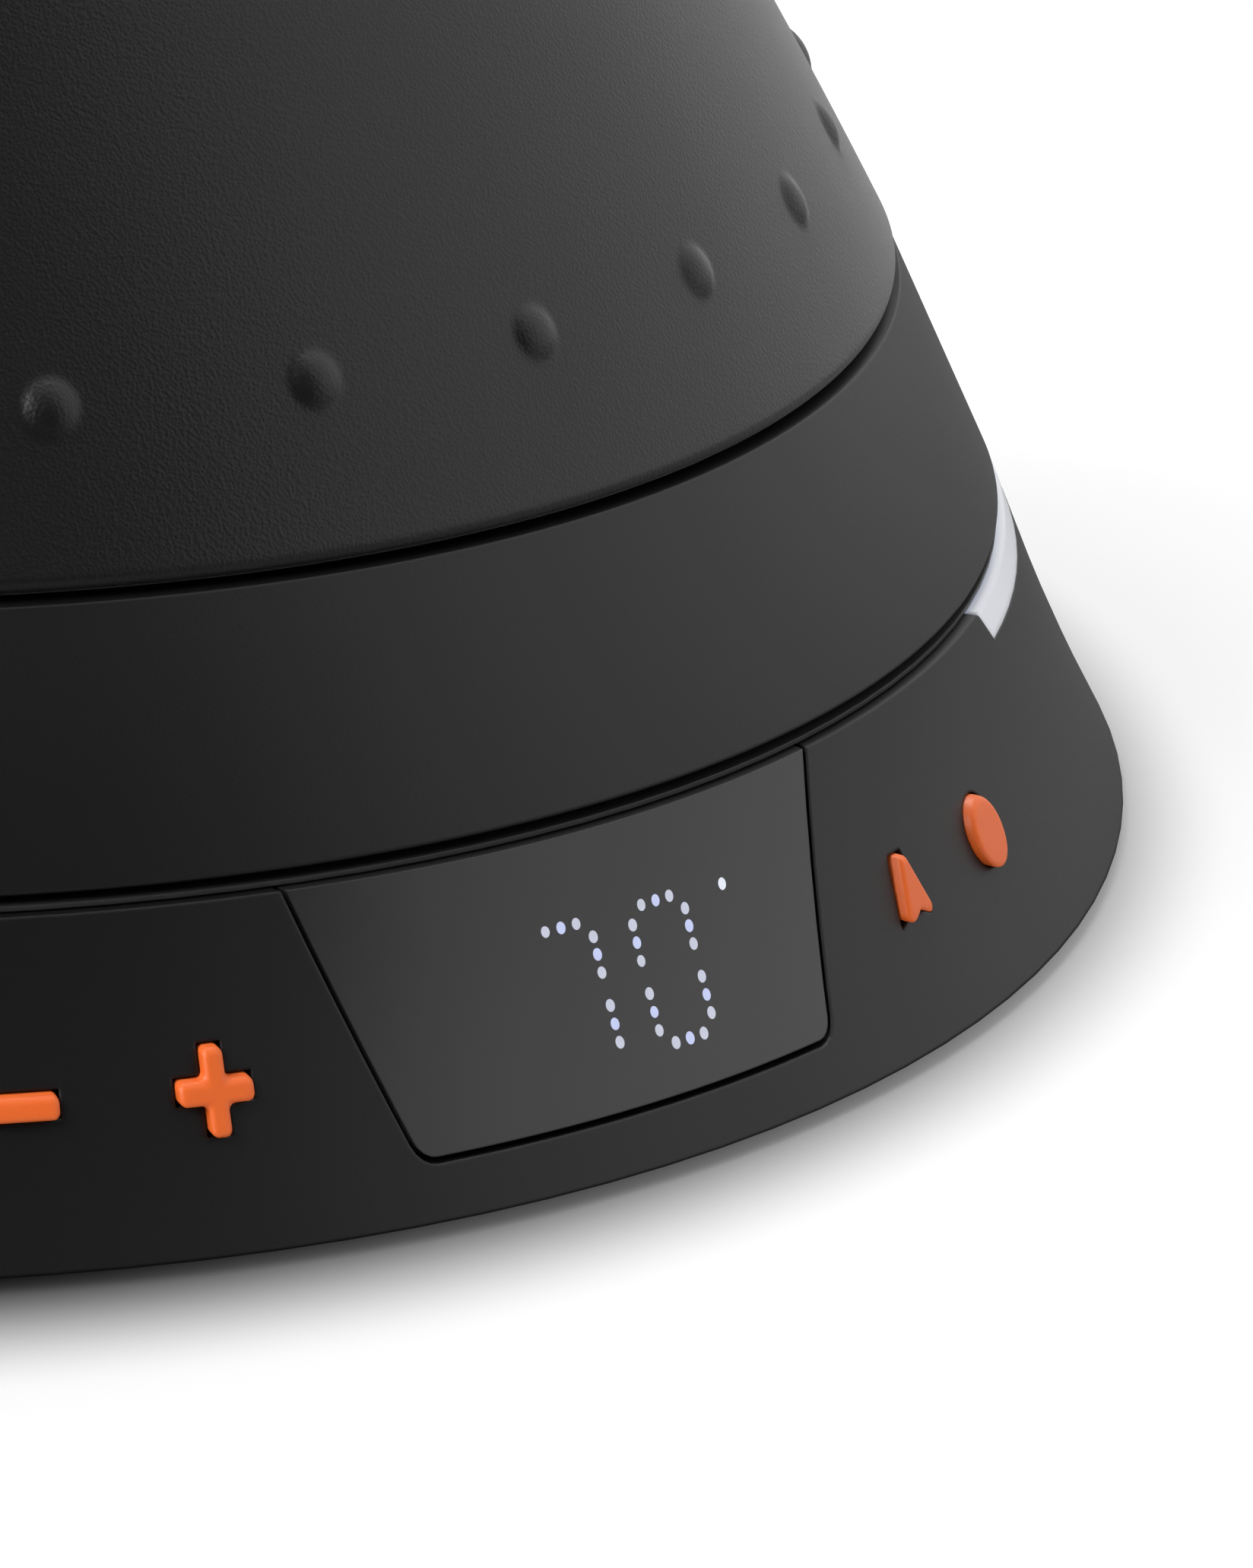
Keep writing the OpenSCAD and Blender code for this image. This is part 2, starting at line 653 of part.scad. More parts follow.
// level radii of the connector's contacts
pin_r = 2;
bore_r = 3.6;
groove_a = [6.4, 8.6];
groove_b = [9.6, 11.6];
blade_t = 0.5;
connector_z0 = deck_z0 - 5;
connector_z1 = deck_z1 + connector_h;
groove_z0 = deck_z1 - 1;
module base_connector() {
    color([0.09, 0.09, 0.09]) difference() {
        union() {
            translate([0, 0, connector_z0]) cylinder(h = connector_z1 - connector_z0, r = connector_r);
            translate([0, 0, deck_z0 - 1.6]) cylinder(h = 1.6, r = connector_r + 9);
        }
        translate([0, 0, connector_z0 + 1]) cylinder(h = 40, r = bore_r);
        ring(groove_a[0], groove_a[1], groove_z0, connector_z1 + 1);
        ring(groove_b[0], groove_b[1], groove_z0, connector_z1 + 1);
    }
}
module base_contacts() {
    color([0.8, 0.62, 0.25]) {
        translate([0, 0, connector_z0 + 1]) cylinder(h = connector_z1 - connector_z0 - 2, r = pin_r);
        ring(groove_a[0], groove_a[0] + blade_t, groove_z0, connector_z1 - 0.5);
        ring(groove_b[0], groove_b[0] + blade_t, groove_z0, connector_z1 - 0.5);
    }
}

ring_foot_r0 = base_top_r - 7.6;
ring_foot_r1 = base_top_r - 4.6;
ring_lip_r = band_low_r - 0.15;
module swivel_ring() {
    lip_z0 = ring_z1 - ring_lip_t;
    color([0.24, 0.24, 0.25]) turned([
        [ring_foot_r0, deck_z1], [ring_foot_r1, deck_z1], [ring_foot_r1, lip_z0],
        [ring_lip_r, lip_z0], [ring_lip_r, ring_z1], [ring_foot_r0, ring_z1]
    ]);
}

// ---- kettle ----

// the flat ring under the body starts beyond the steel vessel, which leaves an air gap inside the body
body_foot_in_r = body_foot_r - body_foot_w;
vessel_foot_r = body_foot_in_r - fit_gap;
vessel_corner_r = body_z0 - vessel_z0;
vessel_d = body_foot_r - vessel_foot_r;

// the ring of studs leaves out those that would lie under the spout
stud_ball_r = (stud_r * stud_r + stud_h * stud_h) / (2 * stud_h);
stud_ring_z = body_z0 + stud_z;
spout_angle = -90;
no_stud_angle = asin(spout_root_r / body_r(stud_ring_z));
module studs() {
    z = stud_ring_z;
    difference() {
        for (i = [0 : stud_count - 1]) let (a = stud_start + i * 360 / stud_count)
            if (cos(a - spout_angle) < cos(no_stud_angle))
                rotate([0, 0, a]) translate([0, -body_r(z), z]) rotate([-lean_at(z), 0, 0])
                    translate([0, stud_ball_r - stud_h, 0]) sphere(r = stud_ball_r, $fn = 48);
        body_solid(body_wall / 2);
    }
}

spout_root_x = body_foot_r - spout_root_inset;
spout_root_z = body_z0 + spout_root_up;
module at_root() {
    rotate([0, 0, 180]) translate([spout_root_x, 0, spout_root_z])
        rotate([0, -spout_root_rise, 0]) children();
}
module after_down(r, turn) {
    translate([0, 0, -r]) rotate([0, turn, 0]) translate([0, 0, r]) children();
}
module forward(l, r0, r1) {
    rotate([0, 90, 0]) cylinder(h = l, r1 = r0, r2 = r1);
}

// a centre line in the XZ plane: each entry is the distance from the axis, the height and the heading
function turn_left(p, r, turn, n) = [for (h = steps(p[2], p[2] + turn, n))
    [p[0] + r * (sin(h) - sin(p[2])), p[1] + r * (cos(p[2]) - cos(h)), h]];
function turn_right(p, r, turn, n) = [for (h = steps(p[2], p[2] - turn, n))
    [p[0] + r * (sin(p[2]) - sin(h)), p[1] + r * (cos(h) - cos(p[2])), h]];
function ahead(p, l) = [p[0] + l * cos(p[2]), p[1] + l * sin(p[2]), p[2]];
function last(v) = v[len(v) - 1];
bend1 = turn_left(ahead([spout_root_x, spout_root_z, spout_root_rise], spout_root_l), spout_bend1_r,
    spout_rise - spout_root_rise, 9);
bend2 = turn_right(ahead(last(bend1), spout_run), spout_bend2_r, spout_rise - spout_tip_rise, 12);
tip = ahead(last(bend2), spout_tip_l - spout_lip_l);
gooseneck = concat(bend1, bend2, [tip]);

tube_sides = 24;
function round_section(r) = [for (i = [0 : tube_sides - 1])
    r * [cos(i * 360 / tube_sides), sin(i * 360 / tube_sides)]];
// a section's points, as [up, sideways], at one entry of a centre line
function placed(p, section) = [for (q = section) [p[0] - q[0] * sin(p[2]), q[1], p[1] + q[0] * cos(p[2])]];
// side faces between ring a and ring b of a list of rings with m points each
function side_faces(a, b, m, outside) = [for (i = [0 : m - 1]) let (
    j = (i + 1) % m,
    quad = [a * m + i, b * m + i, b * m + j, a * m + j]
) outside ? quad : reversed(quad)];
module swept_tube(path, r, wall) {
    n = len(path);
    m = tube_sides;
    faces = concat(
        [for (k = [0 : n - 2]) each side_faces(k, k + 1, m, true)],
        [for (k = [0 : n - 2]) each side_faces(n + k, n + k + 1, m, false)],
        side_faces(0, n, m, false), side_faces(n - 1, 2 * n - 1, m, true));
    polyhedron(concat(
        [for (p = path) each placed(p, round_section(r))],
        [for (p = path) each placed(p, round_section(r - wall))]), faces);
}
module swept_bar(path, section) {
    n = len(path);
    m = len(section);
    start = [for (i = [0 : m - 1]) i];
    end = [for (i = reversed(start)) (n - 1) * m + i];
    faces = concat([for (k = [0 : n - 2]) each side_faces(k, k + 1, m, true)], [start, end]);
    polyhedron([for (p = path) each placed(p, section)], faces);
}

function body_outline() = let (
    side = body_side(0),
    p = [[body_foot_in_r, body_z0], side[0], side[1]]
) concat(
    [p[0]], corner(p, 1, body_edge_r), [for (i = [1 : body_steps]) side[i]],
    [for (q = reversed(body_side(body_wall))) if (q[0] < body_foot_in_r) q],
    [[body_foot_in_r, body_z(body_foot_in_r + body_wall)]]);

// the handle's pad and its screws, which stand square on the body's side
arm_z = neck_z - arm_drop;
arm_x = body_r(arm_z) - arm_inset;
pad_half = 12;
pad_t = 3.6;
pad_z0 = arm_z - 11;
pad_z1 = neck_z - 1;
handle_screw_z = arm_z - 7;
handle_screw_angle = 12.5;
handle_screw_r = 1.6;
handle_screw_head_r = 2.5;
handle_screw_head_t = 1.4;
screw_seat = pad_t * cos(lean_at(handle_screw_z)) - handle_screw_head_t - 0.2;
module handle_screw_axes() {
    for (side = [-1, 1]) rotate([0, 0, side * handle_screw_angle])
        translate([body_r(handle_screw_z), 0, handle_screw_z])
            rotate([0, 90 - lean_at(handle_screw_z), 0]) children();
}
module handle_screw_holes() {
    handle_screw_axes() translate([0, 0, -5]) cylinder(h = 15, r = handle_screw_r + 0.1, $fn = 32);
}

module kettle_body() {
    color([0.12, 0.12, 0.125]) difference() {
        union() {
            turned(body_outline());
            studs();
        }
        at_root() forward(spout_root_l, spout_root_r + run_gap, spout_r + run_gap);
        handle_screw_holes();
    }
}

module inner_vessel() {
    inner_d = vessel_d + vessel_wall;
    corner_x = vessel_foot_r - vessel_corner_r;
    outline = concat(
        [[0, vessel_z0]], arc(corner_x, body_z0, vessel_corner_r, -90, -1), body_side(vessel_d),
        reversed(body_side(inner_d)), arc(corner_x, body_z0, vessel_corner_r - vessel_floor_t, -1, -90),
        [[0, vessel_z0 + vessel_floor_t]]);
    color([0.75, 0.75, 0.76]) difference() {
        turned(outline);
        at_root() forward(spout_root_l, spout_root_r - spout_wall, spout_r - spout_wall);
        probe_place() translate([0, 0, vessel_z0 - 1]) cylinder(h = 4, r = probe_r + fit_gap, $fn = 32);
    }
}

band_flange_t = 1.2;
band_ledge_t = 1.2;
band_ledge_w = 2.2;
module skirt_band() {
    flange_z0 = band_z1 - band_flange_t;
    ledge_z1 = bottom_cover_z1 + band_ledge_t;
    ledge_in_r = band_r(ledge_z1) - band_wall - band_ledge_w;
    color([0.13, 0.13, 0.135]) turned([
        [band_r(band_z0) - band_wall, band_z0], [band_r(band_z0), band_z0], [band_r(band_z1), band_z1],
        [body_foot_in_r, band_z1], [body_foot_in_r, flange_z0], [band_r(flange_z0) - band_wall, flange_z0],
        [band_r(ledge_z1) - band_wall, ledge_z1], [ledge_in_r, ledge_z1],
        [ledge_in_r, bottom_cover_z1], [band_r(bottom_cover_z1) - band_wall, bottom_cover_z1]
    ]);
}

module body_seal() {
    color([0.03, 0.03, 0.03]) ring(body_foot_in_r, body_foot_in_r + 1, band_z1, body_z0);
}

cover_hole_r = connector_r + run_gap + 2.7;
kettle_post_r = 3.2;
kettle_post_circle_r = 52;
kettle_post_angles = [30, 150, 270];
module at_kettle_posts(z) {
    for (a = kettle_post_angles) rotate([0, 0, a]) translate([kettle_post_circle_r, 0, z]) children();
}
module bottom_cover() {
    cover_rim_r = band_r(bottom_cover_z1) - band_wall - fit_gap;
    color([0.07, 0.07, 0.07]) difference() {
        union() {
            ring(cover_hole_r + fit_gap, cover_rim_r, ring_z1, bottom_cover_z1);
            at_kettle_posts(bottom_cover_z1 - eps) cylinder(h = heater_bay_h + eps, r = kettle_post_r);
        }
        at_kettle_posts(ring_z1 - 1) {
            cylinder(h = 20, r = screw_r + 0.1, $fn = 32);
            cylinder(h = 1 + screw_head_t, r = screw_head_r + fit_gap);
        }
    }
}
module cover_screws() {
    color([0.6, 0.6, 0.62]) at_kettle_posts(ring_z1)
        screw(screw_head_r, screw_head_t, screw_r, plate_z0 + 2 - ring_z1 - screw_head_t);
}

probe_r = 2;
probe_circle_r = 31;
probe_h = 6;
module probe_place() {
    rotate([0, 0, 200]) translate([probe_circle_r, 0, 0]) children();
}
module heater_plate() {
    color([0.7, 0.7, 0.7]) difference() {
        translate([0, 0, plate_z0]) cylinder(h = heater_plate_t, r = heater_plate_r);
        at_kettle_posts(plate_z0 - 1) cylinder(h = 1 + 2.2, r = screw_r + 0.1, $fn = 32);
        probe_place() translate([0, 0, plate_z0 - 1]) cylinder(h = 20, r = probe_r + fit_gap, $fn = 32);
    }
}
element_pin_r = 1.5;
element_pin_l = 5;
module heating_element() {
    gap = 30;
    z = plate_z0 - element_tube_r - 0.05;
    color([0.55, 0.5, 0.45]) {
        rotate([0, 0, 90 + gap / 2]) rotate_extrude(angle = 360 - gap)
            translate([element_ring_r, z]) circle(r = element_tube_r, $fn = 32);
        for (side = [-1, 1]) rotate([0, 0, 90 + side * gap / 2]) translate([element_ring_r, 0, z])
            rotate([side * 90, 0, 0]) translate([0, 0, -eps])
                cylinder(h = element_pin_l, r = element_pin_r, $fn = 32);
    }
}
cutout_circle_r = 27;
cutout_r = 6;
cutout_h = 4;
module thermal_cutouts() {
    color([0.85, 0.8, 0.65]) for (a = [60, 300]) rotate([0, 0, a])
        translate([cutout_circle_r, 0, plate_z0 - cutout_h]) cylinder(h = cutout_h, r = cutout_r);
}
probe_head_t = 3;
module temperature_probe() {
    z = plate_z0 - probe_head_t;
    color([0.7, 0.7, 0.72]) probe_place() {
        translate([0, 0, z]) cylinder(h = probe_head_t, r = 4);
        translate([0, 0, z]) cylinder(h = vessel_z0 + vessel_floor_t + probe_h - z, r = probe_r, $fn = 32);
    }
}
module probe_seal() {
    color([0.8, 0.3, 0.2]) probe_place() translate([0, 0, vessel_z0 + vessel_floor_t]) difference() {
        cylinder(h = 1.2, r = 4.5);
        translate([0, 0, -1]) cylinder(h = 4, r = probe_r + 0.05, $fn = 32);
    }
}

roof_t = 1.6;
roof_z0 = connector_z1 + 0.5;
module kettle_connector() {
    color([0.09, 0.09, 0.09]) difference() {
        union() {
            translate([0, 0, ring_z1]) cylinder(h = roof_z0 + roof_t - ring_z1, r = cover_hole_r);
            translate([0, 0, bottom_cover_z1]) cylinder(h = 1.5, r = cover_hole_r + 5);
        }
        translate([0, 0, ring_z1 - 1]) cylinder(h = roof_z0 - ring_z1 + 1, r = connector_r + run_gap);
    }
}
module kettle_contacts() {
    z0 = deck_z1 + 1.6;
    color([0.8, 0.62, 0.25]) {
        ring(pin_r + run_gap, bore_r - run_gap, z0, roof_z0);
        ring(groove_a[0] + blade_t + run_gap, groove_a[1] - run_gap, z0, roof_z0);
        ring(groove_b[0] + blade_t + run_gap, groove_b[1] - run_gap, z0, roof_z0);
    }
}

neck_in_r = neck_r - vessel_d - vessel_wall;
module neck_ring() {
    p = [[neck_in_r, neck_z], [neck_r, neck_z], [neck_r, neck_ring_z1], [neck_in_r, neck_ring_z1]];
    color([0.14, 0.14, 0.145]) turned(concat([p[0], p[1]], corner(p, 2, 0.5), [p[3]]));
}

module spout_root() {
    color([0.12, 0.12, 0.125]) difference() {
        at_root() forward(spout_root_l, spout_root_r, spout_r);
        at_root() forward(spout_root_l, spout_root_r - spout_wall, spout_r - spout_wall);
        body_solid(vessel_d);
    }
}
module spout_tube() {
    color([0.12, 0.12, 0.125]) rotate([0, 0, 180]) swept_tube(gooseneck, spout_r, spout_wall);
}

// radius of the spout's root at a distance along it
function root_r(s) = spout_root_r + (spout_r - spout_root_r) * s / spout_root_l;
collar_from = 4;
collar_to = 15;
module spout_collar() {
    color([0.12, 0.12, 0.125]) difference() {
        at_root() translate([collar_from, 0, 0])
            forward(collar_to - collar_from, root_r(0) + 5.5, root_r(collar_to) + 0.9);
        at_root() forward(spout_root_l, spout_root_r + 0.05, spout_r + 0.05);
        body_solid(0);
    }
}
module spout_lip() {
    color([0.7, 0.7, 0.7]) rotate([0, 0, 180]) translate([tip[0], 0, tip[1]])
        rotate([0, 90 - spout_tip_rise, 0]) difference() {
            cylinder(h = spout_lip_l, r = spout_r + spout_lip_t);
            translate([0, 0, -1]) cylinder(h = spout_lip_l + 2, r = spout_r - spout_wall);
        }
}

// ---- handle ----

module at_arm() {
    translate([arm_x, 0, arm_z]) rotate([0, -arm_rise, 0]) children();
}
grip_sleeve = 11;
tongue_w = 9;
tongue_h = 4.5;
tongue_l = grip_sleeve + 6;
arm_turn = arm_rise + grip_drop;
module arm_bar(w, h, l) {
    rotate([90, 0, 90]) linear_extrude(height = l) polygon(rounded(bar(w, h), h / 4));
}
module handle_bracket() {
    color([0.12, 0.12, 0.125]) difference() {
        union() {
            at_arm() arm_bar(arm_w, arm_h, arm_l - grip_sleeve);
            at_arm() translate([arm_l - grip_sleeve - eps, 0, 0]) arm_bar(tongue_w, tongue_h, tongue_l - 4);
            intersection() {
                translate([0, -pad_half, pad_z0]) cube([far, 2 * pad_half, pad_z1 - pad_z0]);
                body_solid(-pad_t);
            }
        }
        body_solid(0);
        handle_screw_holes();
        handle_screw_axes() translate([0, 0, screw_seat])
            cylinder(h = 5, r = handle_screw_head_r + fit_gap, $fn = 32);
    }
}
module handle_screws() {
    shank_l = screw_seat + body_wall - 0.4;
    color([0.6, 0.6, 0.62]) handle_screw_axes() translate([0, 0, screw_seat + handle_screw_head_t])
        rotate([180, 0, 0]) screw(handle_screw_head_r, handle_screw_head_t, handle_screw_r, shank_l);
}
grip_corner_r = 6.3;
grip_outline = rounded(bar(grip_d, grip_w), grip_corner_r);
arm_start = [arm_x, arm_z, arm_rise];
grip_bend = turn_right(ahead(arm_start, arm_l), grip_bend_r, arm_turn, 12);
module at_grip() {
    at_arm() translate([arm_l, 0, 0]) after_down(grip_bend_r, arm_turn) children();
}
module handle_grip() {
    color([0.1, 0.1, 0.1]) difference() {
        swept_bar(concat(
            [ahead(arm_start, arm_l - grip_sleeve)], grip_bend, [ahead(last(grip_bend), grip_l)]
        ), grip_outline);
        at_arm() translate([arm_l - grip_sleeve - 1, 0, 0])
            arm_bar(tongue_w + 2 * fit_gap, tongue_h + 2 * fit_gap, tongue_l - 2);
    }
}
cap_t = 2.5;
cap_step = 0.8;
module grip_cap() {
    color([0.08, 0.08, 0.08]) at_grip() translate([grip_l, 0, 0]) rotate([0, 90, 0]) {
        linear_extrude(height = cap_t - 1) polygon(grip_outline);
        translate([0, 0, cap_t - 1 - eps]) linear_extrude(height = 1)
            polygon(rounded(bar(grip_d - 2 * cap_step, grip_w - 2 * cap_step), grip_corner_r - cap_step));
    }
}

// ---- lid ----

gasket_z1 = neck_ring_z1 + 0.8;
plug_flange_t = 0.6;
lid_z0 = gasket_z1 + plug_flange_t;
lid_r = neck_r - 0.3;
dome_r = (lid_r * lid_r + lid_h * lid_h) / (2 * lid_h);
dome_centre_z = lid_z0 + lid_h - dome_r;
function dome_z(r, depth) = dome_centre_z + sqrt(pow(dome_r - depth, 2) - r * r);
lid_flat_r = knob_stem_r + 1.5;
lid_top_z = dome_z(lid_flat_r, 0);
lid_ceiling_z = dome_z(lid_flat_r, lid_wall);
lid_in_r = sqrt(pow(dome_r - lid_wall, 2) - pow(lid_z0 - dome_centre_z, 2));
knob_screw_r = 2;
knob_screw_head_t = 1.6;
module lid_shell() {
    color([0.12, 0.12, 0.125]) difference() {
        turned(concat(
            [for (r = steps(lid_r, lid_flat_r, 10)) [r, dome_z(r, 0)]], [[0, lid_top_z], [0, lid_ceiling_z]],
            [for (r = steps(lid_flat_r, lid_in_r, 8)) [r, dome_z(r, lid_wall)]]));
        translate([0, 0, lid_z0]) cylinder(h = 50, r = knob_screw_r + fit_gap, $fn = 32);
    }
}
plug_r = neck_in_r - 1;
plug_z0 = neck_ring_z1 - plug_h;
plug_t = 1;
module lid_plug() {
    color([0.75, 0.75, 0.76]) difference() {
        union() {
            translate([0, 0, plug_z0]) cylinder(h = lid_z0 - plug_z0, r = plug_r);
            translate([0, 0, gasket_z1]) cylinder(h = plug_flange_t, r = lid_r - 0.5);
        }
        translate([0, 0, plug_z0 + plug_t]) cylinder(h = 50, r = plug_r - plug_t);
        for (i = [0 : 5]) rotate([0, 0, i * 60]) translate([plug_r / 2, 0, plug_z0 - 1])
            cylinder(h = 4, r = 1.8, $fn = 32);
    }
}
module lid_gasket() {
    sleeve_r = neck_in_r - run_gap;
    color([0.2, 0.2, 0.2]) turned([
        [plug_r, neck_ring_z1 - 5], [sleeve_r, neck_ring_z1 - 5], [sleeve_r, neck_ring_z1],
        [lid_r - 0.5, neck_ring_z1], [lid_r - 0.5, gasket_z1], [plug_r, gasket_z1]
    ]);
}
module lid_knob() {
    z = lid_top_z;
    p = [
        [0, z], [knob_stem_r, z], [knob_stem_r, z + knob_stem_h], [knob_r, z + knob_stem_h],
        [knob_r, z + knob_stem_h + knob_head_h], [0, z + knob_stem_h + knob_head_h]
    ];
    color([0.1, 0.1, 0.1]) difference() {
        turned(concat([p[0], p[1]], corner(p, 2, 1.2), corner(p, 3, 1.5), corner(p, 4, 2.5), [p[5]]));
        translate([0, 0, z - 1]) cylinder(h = 8.2, r = knob_screw_r + 0.1, $fn = 32);
    }
}
module knob_screw() {
    color([0.6, 0.6, 0.62]) translate([0, 0, lid_ceiling_z - knob_screw_head_t])
        screw(3.6, knob_screw_head_t, knob_screw_r, lid_top_z - lid_ceiling_z + 7);
}

base_shell();
base_deck();
base_cover();
foot_ring();
base_screws();
cable_gland();
display_window();
display_baffle();
display_leds();
display_board();
minus_button();
plus_button();
arrow_button();
round_button();
button_switches();
button_flex();
switch_carrier();
light_guide();
light_strip_leds();
main_board();
relay();
power_supply();
buzzer();
base_connector();
base_contacts();
swivel_ring();
kettle_body();
inner_vessel();
skirt_band();
body_seal();
bottom_cover();
cover_screws();
heater_plate();
heating_element();
thermal_cutouts();
temperature_probe();
probe_seal();
kettle_connector();
kettle_contacts();
neck_ring();
spout_root();
spout_tube();
spout_collar();
spout_lip();
handle_bracket();
handle_screws();
handle_grip();
grip_cap();
lid_shell();
lid_plug();
lid_gasket();
lid_knob();
knob_screw();
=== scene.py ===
import json
import math
import bmesh
import bpy
import numpy as np
from mathutils import Matrix, Vector


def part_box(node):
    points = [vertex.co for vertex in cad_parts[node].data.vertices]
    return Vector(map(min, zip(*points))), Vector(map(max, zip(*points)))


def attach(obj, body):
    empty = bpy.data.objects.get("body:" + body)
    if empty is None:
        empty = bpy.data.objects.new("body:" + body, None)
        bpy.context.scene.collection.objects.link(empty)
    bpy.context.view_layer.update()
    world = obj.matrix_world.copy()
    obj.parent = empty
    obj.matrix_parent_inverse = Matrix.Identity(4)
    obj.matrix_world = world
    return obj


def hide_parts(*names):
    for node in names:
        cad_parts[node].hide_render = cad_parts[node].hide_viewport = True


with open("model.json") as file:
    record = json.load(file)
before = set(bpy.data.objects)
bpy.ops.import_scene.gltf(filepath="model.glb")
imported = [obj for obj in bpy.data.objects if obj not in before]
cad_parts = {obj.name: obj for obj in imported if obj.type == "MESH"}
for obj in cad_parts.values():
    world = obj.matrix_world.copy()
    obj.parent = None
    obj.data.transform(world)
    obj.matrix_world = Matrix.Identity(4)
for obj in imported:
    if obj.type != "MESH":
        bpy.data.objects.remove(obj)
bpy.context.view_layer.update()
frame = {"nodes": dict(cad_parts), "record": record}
nodes = frame["nodes"]
mm = 0.001  # shapes are worked out in millimetres and made metres when they become meshes
print("frame loaded:", len(nodes), "nodes")


def lowest(node):
    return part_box(node)[0].z / mm


def highest(node):
    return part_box(node)[1].z / mm


# the camera stands at the display side, turned towards the handle
camera = {
    "place": (-321.3, -411.6, 196.8),
    "heading": 44.51,  # degrees from +Y towards +X
    "down": 20.91,
    "roll": 4.07,
    "lens": 206.15,  # on a 36 mm sensor along the picture's long side
}


def makeCamera():
    heading, down, roll = (math.radians(camera[key]) for key in ("heading", "down", "roll"))
    forward = Vector((math.sin(heading) * math.cos(down), math.cos(heading) * math.cos(down), -math.sin(down)))
    level = Vector((math.cos(heading), -math.sin(heading), 0))
    upright = level.cross(forward)
    right = level * math.cos(roll) + upright * math.sin(roll)
    up = upright * math.cos(roll) - level * math.sin(roll)
    turn = Matrix((right, up, -forward)).transposed()
    data = bpy.data.cameras.new("camera")
    data.lens = camera["lens"]
    data.sensor_width = 36
    data.clip_start = 0.01
    view = bpy.data.objects.new("camera", data)
    view.matrix_world = Matrix.Translation(Vector(camera["place"]) * mm) @ turn.to_4x4()
    bpy.context.scene.collection.objects.link(view)
    bpy.context.scene.camera = view
    return forward


pictureForward = makeCamera()
print("camera placed")


# shader helpers

class Wire:  # a shader socket that can stand in a sum, a product or a power
    def __init__(self, shader, socket):
        self.shader = shader
        self.socket = socket

    def maths(self, operation, *values):
        return self.shader.add("ShaderNodeMath", {"operation": operation}, dict(enumerate(values)))

    def __add__(self, other):
        return self.maths("ADD", self, other)

    def __sub__(self, other):
        return self.maths("SUBTRACT", self, other)

    def __rsub__(self, other):
        return self.maths("SUBTRACT", other, self)

    def __mul__(self, other):
        return self.maths("MULTIPLY", self, other)

    def __truediv__(self, other):
        return self.maths("DIVIDE", self, other)

    def __pow__(self, other):
        return self.maths("POWER", self, other)

    __radd__ = __add__
    __rmul__ = __mul__

    def over(self, limit):  # 1 above the limit, 0 below
        return self.maths("GREATER_THAN", self, limit)

    def eased(self, low, high):  # 0 below low, 1 above high, smooth in between
        settings = {"interpolation_type": "SMOOTHSTEP"}
        return self.shader.add("ShaderNodeMapRange", settings, {"Value": self, "From Min": low, "From Max": high})


class NodeTree:
    def __init__(self, tree):
        self.tree = tree

    def feed(self, socket, value):
        if isinstance(value, Wire):
            self.tree.links.new(value.socket, socket)
        else:
            socket.default_value = value

    def add(self, kind, settings, values, output=0):
        node = self.tree.nodes.new(kind)
        for setting, value in settings.items():
            setattr(node, setting, value)
        for socket, value in values.items():
            self.feed(node.inputs[socket], value)
        return Wire(self, node.outputs[output])


class Shader(NodeTree):  # a material whose surface is one Principled node
    def __init__(self, name, **constants):
        self.material = bpy.data.materials.new(name)
        self.material.use_nodes = True
        super().__init__(self.material.node_tree)
        self.surface = self.tree.nodes["Principled BSDF"]
        self.paint(**constants)

    def paint(self, **values):
        for socket, value in values.items():
            self.feed(self.surface.inputs[socket.replace("_", " ")], value)
        return self.material

    def place(self, stretch=(1, 1, 1)):  # object coordinates in millimetres, stretched
        spot = self.add("ShaderNodeTexCoord", {}, {}, "Object")
        scale = [1 / (mm * s) for s in stretch]
        return self.add("ShaderNodeVectorMath", {"operation": "MULTIPLY"}, {0: spot, 1: scale})

    def axis(self, letter):
        return self.add("ShaderNodeSeparateXYZ", {}, {0: self.place()}, letter)

    def noise(self, size, detail=2, stretch=(1, 1, 1)):  # size of a blotch in millimetres
        values = {"Vector": self.place(stretch), "Scale": 1 / size, "Detail": detail}
        return self.add("ShaderNodeTexNoise", {}, values)

    def pebbles(self, size, smoothness=0.6):  # distance from the nearest of scattered points
        values = {"Vector": self.place(), "Scale": 1 / size, "Smoothness": smoothness}
        return self.add("ShaderNodeTexVoronoi", {"feature": "SMOOTH_F1"}, values)

    def mixed(self, factor, one, other):
        return self.add("ShaderNodeMix", {"data_type": "RGBA"}, {0: factor, 6: one, 7: other}, 2)

    def bumped(self, height, depth, normal=None):  # depth of the relief in millimetres
        values = {"Height": height, "Distance": depth * mm, "Strength": 1}
        if normal:
            values["Normal"] = normal
        return self.add("ShaderNodeBump", {}, values)

    def softEdges(self, radius, normal=None):  # edges catch light as if rounded to this radius
        values = {"Radius": radius * mm}
        if normal:
            values["Normal"] = normal
        return self.add("ShaderNodeBevel", {"samples": 6}, values)


def tint(red, green, blue):  # a screen colour of 0 to 255 as the shader's linear colour
    return [*(((c / 255 + 0.055) / 1.055) ** 2.4 if c > 10 else c / 255 / 12.92 for c in (red, green, blue)), 1]


# mesh helpers

